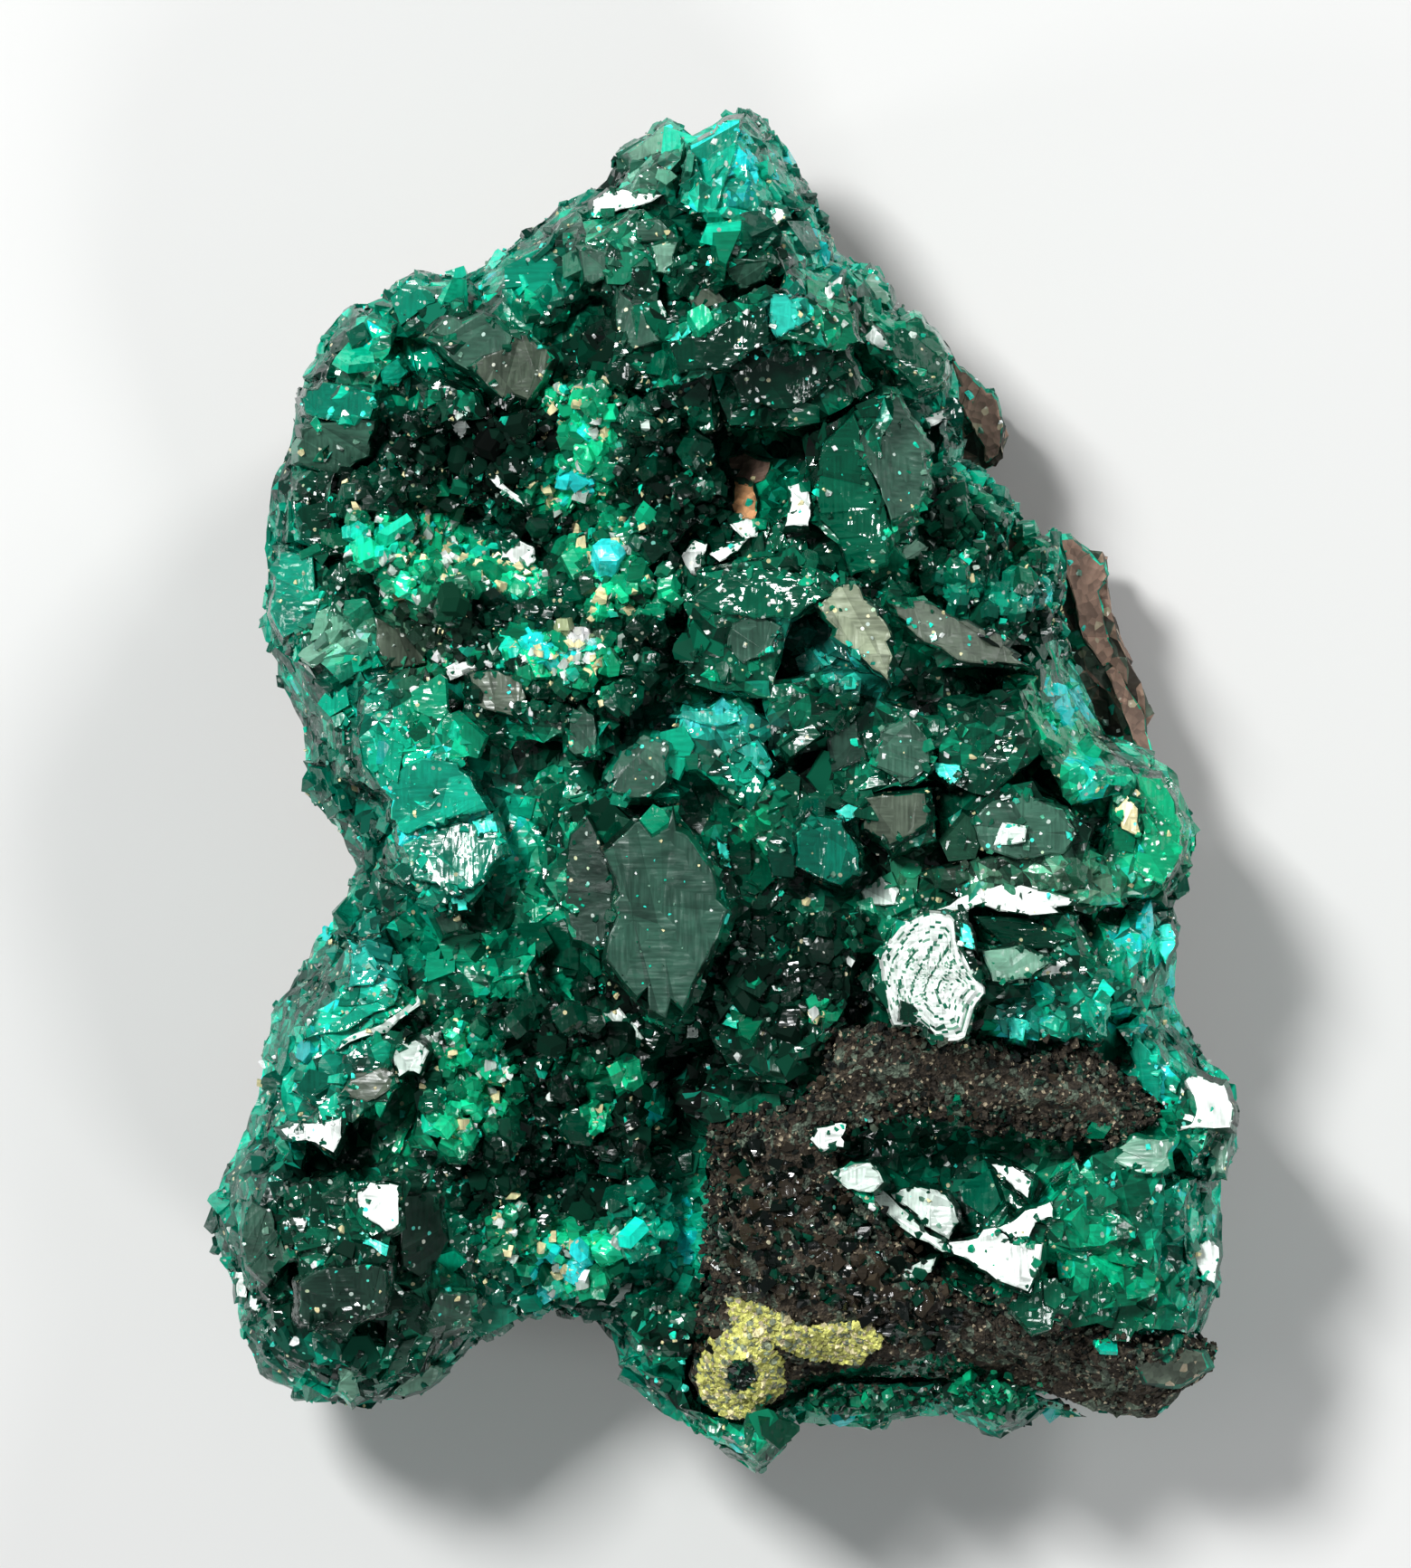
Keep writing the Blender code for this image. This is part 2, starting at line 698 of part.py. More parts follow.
def add_relief(bm, brink, surface, grid, rng, roughness):
    """Closes the ring brink with a rough relief on a jittered grid of the given spacing."""
    edge = [Vector(vert.co[:2]) for vert in brink]
    low = Vector((min(p.x for p in edge), min(p.y for p in edge)))
    high = Vector((max(p.x for p in edge), max(p.y for p in edge)))
    points = list(edge)
    row_step = grid * math.sqrt(3) / 2
    rows = int((high.y - low.y) / row_step) + 1
    columns = int((high.x - low.x) / grid) + 1
    for row in range(rows):
        for column in range(columns):
            jitter = [rng.uniform(-GRID_JITTER, GRID_JITTER) for _ in range(2)]
            node = Vector(((column + row % 2 / 2) * grid, row * row_step))
            spot = low + node + Vector(jitter) * grid
            clear = min((spot - corner).length for corner in edge)
            if inside(spot, edge) and clear > grid * GRID_CLEAR:
                points.append(spot)
    border = [(i, (i + 1) % len(edge)) for i in range(len(edge))]
    loop = [list(range(len(edge)))]
    found, _, faces, *_ = delaunay_2d_cdt(points, border, loop, 1, 1e-6)
    verts = list(brink)
    for spot in found[len(brink):]:
        height = surface(*spot) + rng.uniform(-roughness, roughness)
        verts.append(bm.verts.new((spot.x, spot.y, height)))
    for face in faces:
        bm.faces.new([verts[i] for i in face])


def crystal_core(rng):
    """The body under the crystals: a swelling side wall, a flat seat and a rough top."""
    bm = bmesh.new()
    foot = [(p.x, p.y, seat(*p) - SEAT_SPARE) for p in inset_rim(CORE_FOOT_INSET, bares_rock=True)]
    rings = [add_ring(bm, foot)]
    for inset, height in CORE_RINGS:
        ring = []
        for p in inset_rim(inset, bares_rock=True):
            ring.append((p.x, p.y, RIM_HEIGHT + height + rng.uniform(-CORE_UNEVEN, CORE_UNEVEN)))
        rings.append(add_ring(bm, ring))
    for lower, upper in zip(rings, rings[1:]):
        add_wall(bm, lower, upper)
    bm.faces.new(rings[0])

    def top(x, y):
        return ground(x, y) - CORE_SINK

    add_relief(bm, rings[-1], top, CORE_GRID, rng, CORE_ROUGHNESS)
    return bm


def block_mesh(block, rng):
    """A flat-faced crystal: a prism over its outline, cut along its leaning face and chipped."""
    centre = middle(block.outline)
    top = ground(*centre) + block.rise
    bm = bmesh.new()
    rings = []
    for z, flare in zip((top - block.depth, top + BLOCK_SPARE), BLOCK_FLARES):
        points = [centre + (Vector(point) - centre) * flare for point in block.outline]
        rings.append(add_ring(bm, [(p.x, p.y, z) for p in points]))
    add_wall(bm, *rings)
    bm.faces.new(rings[0])
    bm.faces.new(rings[1])
    bmesh.ops.recalc_face_normals(bm, faces=bm.faces)
    lean = [math.tan(math.radians(fall)) for fall in block.falls]
    face = Vector((*lean, 1.0)).normalized()
    slice_off(bm, Vector((*centre, top)), face)
    for a, b in zip(block.outline, block.outline[1:] + block.outline[:1]):
        if rng.random() < BREAK_CHANCE:
            outwards = (Vector(a) + Vector(b)) / 2 - centre
            slope = Vector((*outwards.normalized(), 0)) + face * rng.uniform(*BREAK_SLOPE)
            slope.normalize()
            spot = Vector((*(centre + outwards * rng.uniform(*BREAK_REACH)), top))
            spot.z -= lean[0] * (spot.x - centre.x) + lean[1] * (spot.y - centre.y)
            slice_off(bm, spot, slope)
    return bm


def dioptase_crystal(radius, length):
    """A six-sided prism along +Z from the origin, ending in three leaning faces."""
    bm = bmesh.new()
    bmesh.ops.create_cone(
        bm, cap_ends=True, segments=PRISM_SIDES, radius1=radius, radius2=radius, depth=length,
        matrix=Matrix.Translation((0, 0, length / 2)),
    )
    for k in range(END_FACES):
        turn = 2 * math.pi * k / END_FACES
        side = Vector((math.cos(turn), math.sin(turn), 0)) * math.sin(END_LEAN)
        slice_off(bm, Vector((0, 0, length)), side + Vector((0, 0, math.cos(END_LEAN))))
    return bm


def aim(bm, heading, foot, rng):
    """Turns a crystal that was made along +Z to a heading, and stands it at its foot."""
    bm.transform(Matrix.Rotation(rng.uniform(0, math.pi), 4, "Z"))
    bm.transform(heading.to_track_quat("Z", "Y").to_matrix().to_4x4())
    bm.transform(Matrix.Translation(foot))


def chip(size, rng):
    """A broken lump: a box with leaning faces split off it."""
    bm = bmesh.new()
    bmesh.ops.create_cube(bm, size=1.0)
    bm.transform(Matrix.Diagonal((*[size * rng.uniform(*LUMP_STRETCH) for _ in range(3)], 1)))
    for _ in range(LUMP_SPLITS):
        normal = Vector((rng.uniform(-1, 1), rng.uniform(-1, 1), rng.uniform(-0.4, 1))).normalized()
        slice_off(bm, normal * size * rng.uniform(*LUMP_REACH), normal)
    return bm


def rim_crystals(collection, rng):
    """Crystals round the side of the mass, pointing outwards in two staggered tiers."""
    rim = inset_rim(0.0, bares_rock=True)
    for tier, (spacing, height) in enumerate(RIM_TIERS):
        travelled = tier * spacing / 2
        for i, start in enumerate(rim):
            along = rim[(i + 1) % len(rim)] - start
            while travelled < along.length:
                spot = start + along.normalized() * travelled
                inwards = Vector((along.y, -along.x)).normalized()
                radius = rng.uniform(*RIM_RADIUS)
                length = rng.uniform(*RIM_LENGTH)
                pitch = math.radians(rng.uniform(*RIM_PITCH) + TIER_PITCH * tier)
                heading = Vector((-inwards.x, -inwards.y, math.tan(pitch))).normalized()
                heading.rotate(Matrix.Rotation(rng.uniform(-RIM_SWAY, RIM_SWAY), 3, "Z"))
                flat = spot + inwards * (length * RIM_ROOT + TIER_INSET * tier)
                level = RIM_HEIGHT + height + rng.uniform(-RIM_UNEVEN, RIM_UNEVEN)
                foot = Vector((*flat, level))
                foot.z = max(foot.z, seat(*flat) + radius + GAP)
                bm = dioptase_crystal(radius, length)
                aim(bm, heading, foot, rng)
                make_object(f"rim_crystal_{tier}_{i}", bm, collection, helper=True)
                travelled += spacing * rng.uniform(*RIM_SPREAD)
            travelled -= along.length


def rubble(collection, rng):
    """Broken crystals that fill the ground between the larger ones."""
    placed = 0
    while placed < RUBBLE_COUNT:
        x = rng.uniform(-WIDTH / 2, WIDTH / 2)
        y = rng.uniform(-LENGTH / 2, LENGTH / 2)
        if not inside((x, y), RIM) or rim_distance(x, y) < RUBBLE_CLEAR:
            continue
        bm = chip(rng.uniform(*RUBBLE_SIZE), rng)
        bm.transform(Matrix.Rotation(rng.uniform(0, math.pi), 4, "Z"))
        bm.transform(Matrix.Rotation(rng.uniform(-RUBBLE_TILT, RUBBLE_TILT), 4, "X"))
        bm.transform(Matrix.Translation((x, y, ground(x, y) - rng.uniform(*RUBBLE_SINK))))
        make_object(f"rubble_{placed}", bm, collection, helper=True)
        placed += 1


def bowl_ring(hollow, reach, inset):
    """A ring of a hollow's bowl, at a share of the way out to its rim and inset from its wall."""
    centre = middle(hollow.outline)
    points = []
    for point in hollow.outline:
        arm = (Vector(point) - centre) * reach
        if reach > 0:
            arm -= arm.normalized() * min(inset, arm.length * 0.5)
        fall = hollow.depth * (1 - reach**BOWL_CURVE)
        points.append(Vector((*(centre + arm), ground(*point) - fall + inset)))
    return points


def bowl_floor(hollow, inset):
    """The lowest point of a hollow's bowl."""
    points = bowl_ring(hollow, 0.0, inset)
    return sum(points, Vector()) / len(points)


def bowl_mesh(hollow, inset, brim=0.0):
    """A closed bowl shape: its wall and floor, and a lid that stands brim over its rim."""
    bm = bmesh.new()
    rings = []
    if brim > 0:
        top = bowl_ring(hollow, 1.0, inset)
        rings.append(add_ring(bm, [point + Vector((0, 0, brim)) for point in top]))
    for reach in BOWL_REACHES:
        rings.append(add_ring(bm, bowl_ring(hollow, reach, inset)))
    for upper, lower in zip(rings, rings[1:]):
        add_wall(bm, upper, lower)
    bm.faces.new(rings[0])
    bottom = bm.verts.new(bowl_floor(hollow, inset))
    last = rings[-1]
    for i, corner in enumerate(last):
        bm.faces.new((corner, last[(i + 1) % len(last)], bottom))
    return bm


def add_boolean(target, operation, other):
    """Adds a Boolean modifier with an object or a collection as its other operand."""
    modifier = target.modifiers.new(f"{operation.lower()}_{other.name}", "BOOLEAN")
    modifier.operation = operation
    modifier.solver = "MANIFOLD"
    if isinstance(other, bpy.types.Collection):
        modifier.operand_type = "COLLECTION"
        modifier.collection = other
    else:
        modifier.object = other


def merge_turn(edge, spot):
    """How far a face near an edge would turn if the edge's ends met at a spot."""
    worst = 0.0
    for vert in edge.verts:
        for face in vert.link_faces:
            if edge in face.edges:
                continue
            old = [corner.co for corner in face.verts]
            new = [spot if corner is vert else corner.co for corner in face.verts]
            was = (old[1] - old[0]).cross(old[2] - old[0])
            now = (new[1] - new[0]).cross(new[2] - new[0])
            if was.length < LEAST_AREA:
                continue
            if now.length < LEAST_AREA:
                return math.inf
            worst = max(worst, was.angle(now))
    return worst


def can_merge(edge):
    """True when the ends of an edge can meet without opening or folding the surface."""
    around = [{link.other_vert(vert) for link in vert.link_edges} for vert in edge.verts]
    return len(around[0] & around[1]) == 2 and min(len(around[0]), len(around[1])) > 3


def thin_out(bm, short_edge):
    """Drops slivers and the spare corners of flat faces from a closed mesh of triangles."""
    merged = True
    while merged:
        merged = False
        for edge in sorted(bm.edges, key=lambda link: link.calc_length()):
            if not edge.is_valid or not can_merge(edge):
                continue
            a, b = [vert.co.copy() for vert in edge.verts]
            length = (a - b).length / MM
            limit = SHORT_TURN if length < short_edge else FLAT_TURN
            limit = math.inf if length < SPECK else limit
            turns = [merge_turn(edge, spot) for spot in (a, b)]
            if min(turns) < limit:
                spot = a if turns[0] <= turns[1] else b
                bmesh.ops.pointmerge(bm, verts=edge.verts[:], merge_co=spot)
                merged = True


def settle(target, short_edge=0.0):
    """Makes an object's modifiers final and keeps its one large piece, without loose crumbs."""
    bpy.context.view_layer.update()
    evaluated = target.evaluated_get(bpy.context.evaluated_depsgraph_get())
    bm = bmesh.new()
    bm.from_mesh(evaluated.to_mesh())
    evaluated.to_mesh_clear()
    pieces = []
    unseen = set(bm.verts)
    while unseen:
        front = [unseen.pop()]
        piece = set(front)
        while front:
            for edge in front.pop().link_edges:
                for vert in edge.verts:
                    if vert in unseen:
                        unseen.remove(vert)
                        piece.add(vert)
                        front.append(vert)
        pieces.append(piece)
    largest = max(pieces, key=len)
    crumbs = [vert for vert in bm.verts if vert not in largest]
    bmesh.ops.delete(bm, geom=crumbs, context="VERTS")
    midway = [vert for vert in bm.verts if len(vert.link_edges) == 2]
    bmesh.ops.dissolve_verts(bm, verts=midway)
    bmesh.ops.triangulate(bm, faces=bm.faces)
    if short_edge > 0:
        thin_out(bm, short_edge)
    target.modifiers.clear()
    bm.to_mesh(target.data)
    bm.free()


def ledge_mesh(grow, rng):
    """The brown rock between the crystals, or with grow the room that it needs."""
    bm = bmesh.new()
    outline = []
    count = len(LEDGE_OUTLINE)
    for i, point in enumerate(LEDGE_OUTLINE):
        along = Vector(LEDGE_OUTLINE[(i + 1) % count]) - Vector(LEDGE_OUTLINE[i - 1])
        outline.append(Vector(point) + Vector((-along.y, along.x)).normalized() * grow)

    def top(x, y):
        return ground(x, y) + LEDGE_RISE + lift(LEDGE_SWELLS, x, y)

    foot = []
    brink = []
    for p in outline:
        low = max(top(*p) - LEDGE_DEPTH, seat(*p) + LEDGE_FLOOR)
        foot.append((p.x, p.y, low - grow))
        brink.append((p.x, p.y, top(*p) + (LEDGE_ROOM if grow else -LEDGE_LIP)))
    rings = [add_ring(bm, foot), add_ring(bm, brink)]
    add_wall(bm, *rings)
    bm.faces.new(rings[0])
    if grow:
        bm.faces.new(rings[1])
    else:
        add_relief(bm, rings[1], top, LEDGE_GRID, rng, LEDGE_ROUGHNESS)
    return bm


def rim_wall(name, cutters, bares_rock, rng):
    """The broken wall round the rim that trims what would stick out of it."""
    bm = bmesh.new()
    rings = []
    for inset, height in WALL_PROFILE:
        ring = []
        for point in inset_rim(inset, bares_rock):
            uneven = rng.uniform(-WALL_UNEVEN, WALL_UNEVEN) if inset else 0.0
            ring.append((point.x, point.y, RIM_HEIGHT + height + uneven))
        rings.append(add_ring(bm, ring))
    for lower, upper in zip(rings, rings[1:]):
        add_wall(bm, lower, upper)
    bm.faces.new(rings[0])
    bm.faces.new(rings[-1])
    return make_object(name, bm, cutters, helper=True)


def seat_cut(cutters):
    """What lies under the plane that the crystals sit on."""
    bm = bmesh.new()
    reach_x, reach_y = CUT_REACH
    corners = ((-reach_x, -reach_y), (reach_x, -reach_y), (reach_x, reach_y), (-reach_x, reach_y))
    low = add_ring(bm, [(x, y, -CUT_DEPTH) for x, y in corners])
    high = add_ring(bm, [(x, y, seat(x, y) + GAP / 2) for x, y in corners])
    add_wall(bm, low, high)
    bm.faces.new(low)
    bm.faces.new(high)
    return make_object("seat_cut", bm, cutters, helper=True)


def make_rock_base(collection, cutters, material, rng):
    """The plate of rock under the crystals: broken sides and a flat break underneath."""
    bm = bmesh.new()
    foot = []
    brink = []
    for i, corner in enumerate(RIM):
        inset = PLATE_BARE_INSET
        if bare_draw(corner) == 0:
            inset = PLATE_INSET + rng.uniform(-PLATE_UNEVEN, PLATE_UNEVEN)
        p = Vector(corner) + inwards_at(i) * inset
        foot.append((p.x, p.y, 0.0))
        brink.append((p.x, p.y, seat(*p) - GAP / 2))
    rings = [add_ring(bm, foot), add_ring(bm, brink)]
    add_wall(bm, *rings)
    for ring in rings:
        bm.faces.new(ring)
    rock = make_object("rock_base", bm, collection)
    boulder = bmesh.new()
    bmesh.ops.create_icosphere(boulder, subdivisions=2, radius=1.0)
    for vert in boulder.verts:
        vert.co *= rng.uniform(*BOULDER_UNEVEN)
    boulder.transform(Matrix.Diagonal((*BOULDER_RADII, 1)))
    boulder.transform(Matrix.Translation((0, 0, BOULDER_HEIGHT)))
    add_boolean(rock, "INTERSECT", make_object("boulder", boulder, cutters, helper=True))
    rock.data.materials.append(material)
    settle(rock)


def crust_feet(hollow, rng):
    """Places for a crust's crystals, spread over the hollow and clear of one another."""
    corners = [Vector(point) for point in hollow.outline]
    low = Vector((min(p.x for p in corners), min(p.y for p in corners)))
    high = Vector((max(p.x for p in corners), max(p.y for p in corners)))
    feet = []
    for _ in range(CRUST_TRIES):
        spot = Vector((rng.uniform(low.x, high.x), rng.uniform(low.y, high.y)))
        if not inside(spot, corners):
            continue
        if any((spot - other).length < CRUST_SPACING for other in feet):
            continue
        feet.append(spot)
        if len(feet) == hollow.count:
            break
    return feet


def crust_height(hollow, spot):
    """The height of a crust's surface at a point of the hollow."""
    centre = middle(hollow.outline)
    corners = [Vector(point) for point in hollow.outline]
    reach = 0.0
    edge_height = 0.0
    for a, b in zip(corners, corners[1:] + corners[:1]):
        side = Matrix((a - centre, b - centre)).transposed()
        if abs(side.determinant()) < LEAST_SIDE:
            continue
        share = side.inverted() @ (spot - centre)
        if share.x >= 0 and share.y >= 0:
            reach = share.x + share.y
            edge_height = (ground(*a) * share.x + ground(*b) * share.y) / max(reach, LEAST_SIDE)
    fall = hollow.depth * (1 - min(1.0, reach) ** BOWL_CURVE)
    return edge_height - fall + GAP + CRUST_THICKNESS


def crust_crystals(hollow, rng):
    """A collection of the small crystals that stand on a hollow's crust."""
    points = new_collection(f"{hollow.name}_points")
    centre = middle(hollow.outline)
    for k, spot in enumerate(crust_feet(hollow, rng)):
        slope = Vector((*((centre - spot) * CRUST_LEAN), 1.0))
        sway = Vector([rng.uniform(-CRUST_SWAY, CRUST_SWAY) for _ in range(3)])
        heading = (slope + sway).normalized()
        bm = dioptase_crystal(rng.uniform(*CRUST_RADIUS), rng.uniform(*CRUST_LENGTH))
        aim(bm, heading, Vector((*spot, crust_height(hollow, spot) - CRUST_SINK)), rng)
        make_object(f"{hollow.name}_{k}", bm, points, helper=True)
    return points


def make_druse(hollow, collection, cutters, material):
    """The crust of small crystals that lines one hollow."""
    crust = make_object(hollow.name, bowl_mesh(hollow, GAP - CLIP_SPARE), collection)
    inner = bowl_mesh(hollow, GAP + CRUST_THICKNESS, INNER_BRIM)
    add_boolean(crust, "DIFFERENCE", make_object(f"{hollow.name}_inner", inner, cutters, helper=True))
    add_boolean(crust, "UNION", crust_crystals(hollow, random.Random(hollow.seed)))
    outer = bowl_mesh(hollow, GAP, OUTER_BRIM)
    add_boolean(crust, "INTERSECT", make_object(f"{hollow.name}_outer", outer, cutters, helper=True))
    crust.data.materials.append(material)
    settle(crust, SHORT_EDGE)


def make_ledge(collection, cutters, wall, material, rng):
    """The brown rock that is left between the crystals."""
    ledge = make_object("rock_ledge", ledge_mesh(0.0, rng), collection)
    add_boolean(ledge, "INTERSECT", wall)
    ledge.data.materials.append(material)
    settle(ledge)
    return make_object("ledge_room", ledge_mesh(GAP, rng), cutters, helper=True)


def make_crystals(collection, cutters, wall, ledge_room, material, rng):
    """The mass of dioptase crystals: everything that grew together, joined in one solid."""
    mass = make_object("dioptase_crystals", crystal_core(rng), collection)
    grown = new_collection("grown_crystals")
    for block in CRYSTALS:
        make_object(block.name, block_mesh(block, rng), grown, helper=True)
    rim_crystals(grown, rng)
    rubble(grown, rng)
    add_boolean(mass, "UNION", grown)
    add_boolean(mass, "INTERSECT", wall)
    add_boolean(mass, "DIFFERENCE", seat_cut(cutters))
    for hollow in HOLLOWS:
        room = bowl_mesh(hollow, 0.0, ROOM_BRIM)
        room = make_object(f"{hollow.name}_room", room, cutters, helper=True)
        add_boolean(mass, "DIFFERENCE", room)
    add_boolean(mass, "DIFFERENCE", ledge_room)
    mass.data.materials.append(material)
    settle(mass, SHORT_EDGE)


def main():
    """Builds the specimen's solids."""
    clear_scene()
    rng = random.Random(SEED)
    specimen = new_collection("dioptase_specimen")
    cutters = new_collection("cutters")
    green = finish_material("dioptase_green", DIOPTASE_GREEN)
    sparkle = finish_material("druse_green", DRUSE_GREEN)
    brown = finish_material("ledge_brown", LEDGE_BROWN)
    rind = finish_material("base_brown", BASE_BROWN)
    ledge_wall = rim_wall("ledge_wall", cutters, False, rng)
    ledge_room = make_ledge(specimen, cutters, ledge_wall, brown, rng)
    wall = rim_wall("crystal_wall", cutters, True, rng)
    make_rock_base(specimen, cutters, rind, rng)
    make_crystals(specimen, cutters, wall, ledge_room, green, rng)
    for hollow in HOLLOWS:
        make_druse(hollow, specimen, cutters, sparkle)


main()
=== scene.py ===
"""The looks of a dioptase specimen: green crystals grown together over brown granular rock.

Lengths are in millimetres and colours are linear; a mesh is scaled to metres as it is made.
"""

import logging
import math
from dataclasses import dataclass, field
from enum import Enum

import bpy
import numpy as np
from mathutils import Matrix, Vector, noise
from mathutils.bvhtree import BVHTree


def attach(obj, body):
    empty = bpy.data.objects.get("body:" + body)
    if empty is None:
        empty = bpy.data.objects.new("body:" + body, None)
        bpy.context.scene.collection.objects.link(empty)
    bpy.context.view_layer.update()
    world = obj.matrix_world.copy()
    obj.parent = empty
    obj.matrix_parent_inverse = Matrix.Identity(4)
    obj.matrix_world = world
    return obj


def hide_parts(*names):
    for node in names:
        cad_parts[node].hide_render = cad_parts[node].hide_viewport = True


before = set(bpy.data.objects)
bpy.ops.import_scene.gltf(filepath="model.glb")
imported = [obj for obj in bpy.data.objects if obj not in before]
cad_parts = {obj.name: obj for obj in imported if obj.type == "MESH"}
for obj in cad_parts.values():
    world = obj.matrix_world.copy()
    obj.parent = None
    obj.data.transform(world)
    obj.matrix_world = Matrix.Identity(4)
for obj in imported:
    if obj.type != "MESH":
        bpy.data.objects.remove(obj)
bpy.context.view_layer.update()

MM = 0.001
CEILING = 19.95
LOG = logging.getLogger("specimen")

Colour = tuple[float, float, float]
Outline = tuple[tuple[float, float], ...]


class Tone(Enum):
    """The colours that the photograph shows on the specimen."""

    BLACK = (0.0006, 0.005, 0.003)
    DEEP = (0.0004, 0.050, 0.027)
    BODY = (0.0008, 0.125, 0.066)
    GREEN = (0.002, 0.29, 0.145)
    LEAF = (0.006, 0.50, 0.235)
    TEAL = (0.002, 0.34, 0.22)
    # BRIGHT is painted light shining through thin crystal, and CYAN painted glints.
    BRIGHT = (0.01, 0.62, 0.41)
    CYAN = (0.05, 0.85, 0.68)
    SMOKE = (0.018, 0.050, 0.035)
    SLATE = (0.024, 0.076, 0.052)
    # SATIN is a cleavage face's grey-green with a painted sheen in it.
    SATIN = (0.040, 0.110, 0.076)
    SAGE = (0.15, 0.31, 0.225)
    BEIGE = (0.24, 0.28, 0.19)
    STONE = (0.092, 0.120, 0.088)
    # PALE, WHITE and CREAM are painted highlights on the crystal: glints, chips and faces turned to
    # the lamp; CREAM is also the yellow crust's own colour.
    PALE = (0.50, 0.60, 0.54)
    WHITE = (0.86, 0.93, 0.88)
    CREAM = (0.80, 0.72, 0.42)
    YELLOW = (0.60, 0.60, 0.18)
    ORANGE = (0.42, 0.22, 0.10)
    RIND = (0.27, 0.175, 0.13)
    BROWN = (0.046, 0.036, 0.024)


class Slot(Enum):
    """The record's material slots."""

    DIOPTASE = "dioptase"
    DRUSE = "druse"
    GRANULAR = "granular_rock"
    RIND = "rind_rock"


# Shader maths and nodes


class Value:
    """A socket that takes part in Python arithmetic; each operation adds its Math node."""

    def __init__(self, book: "NodeBook", socket: bpy.types.NodeSocket) -> None:
        """Wraps a socket of the book's tree."""
        self.book = book
        self.socket = socket

    def _math(self, operation: str, first: object, second: object) -> "Value":
        """Adds one Math node.

        Args:
            operation: the node's operation.
            first: a value or number.
            second: a value or number.

        Returns:
            The node's result.
        """
        return self.book.value("ShaderNodeMath", {"operation": operation}, {0: first, 1: second})

    def __add__(self, other: object) -> "Value":
        """Adds."""
        return self._math("ADD", self, other)

    def __radd__(self, other: object) -> "Value":
        """Adds, from the right."""
        return self._math("ADD", other, self)

    def __sub__(self, other: object) -> "Value":
        """Subtracts."""
        return self._math("SUBTRACT", self, other)

    def __rsub__(self, other: object) -> "Value":
        """Subtracts this from a number."""
        return self._math("SUBTRACT", other, self)

    def __mul__(self, other: object) -> "Value":
        """Multiplies."""
        return self._math("MULTIPLY", self, other)

    def __rmul__(self, other: object) -> "Value":
        """Multiplies, from the right."""
        return self._math("MULTIPLY", other, self)

    def above(self, limit: object) -> "Value":
        """Gives 1 where this is over the limit, and 0 elsewhere."""
        return self._math("GREATER_THAN", self, limit)


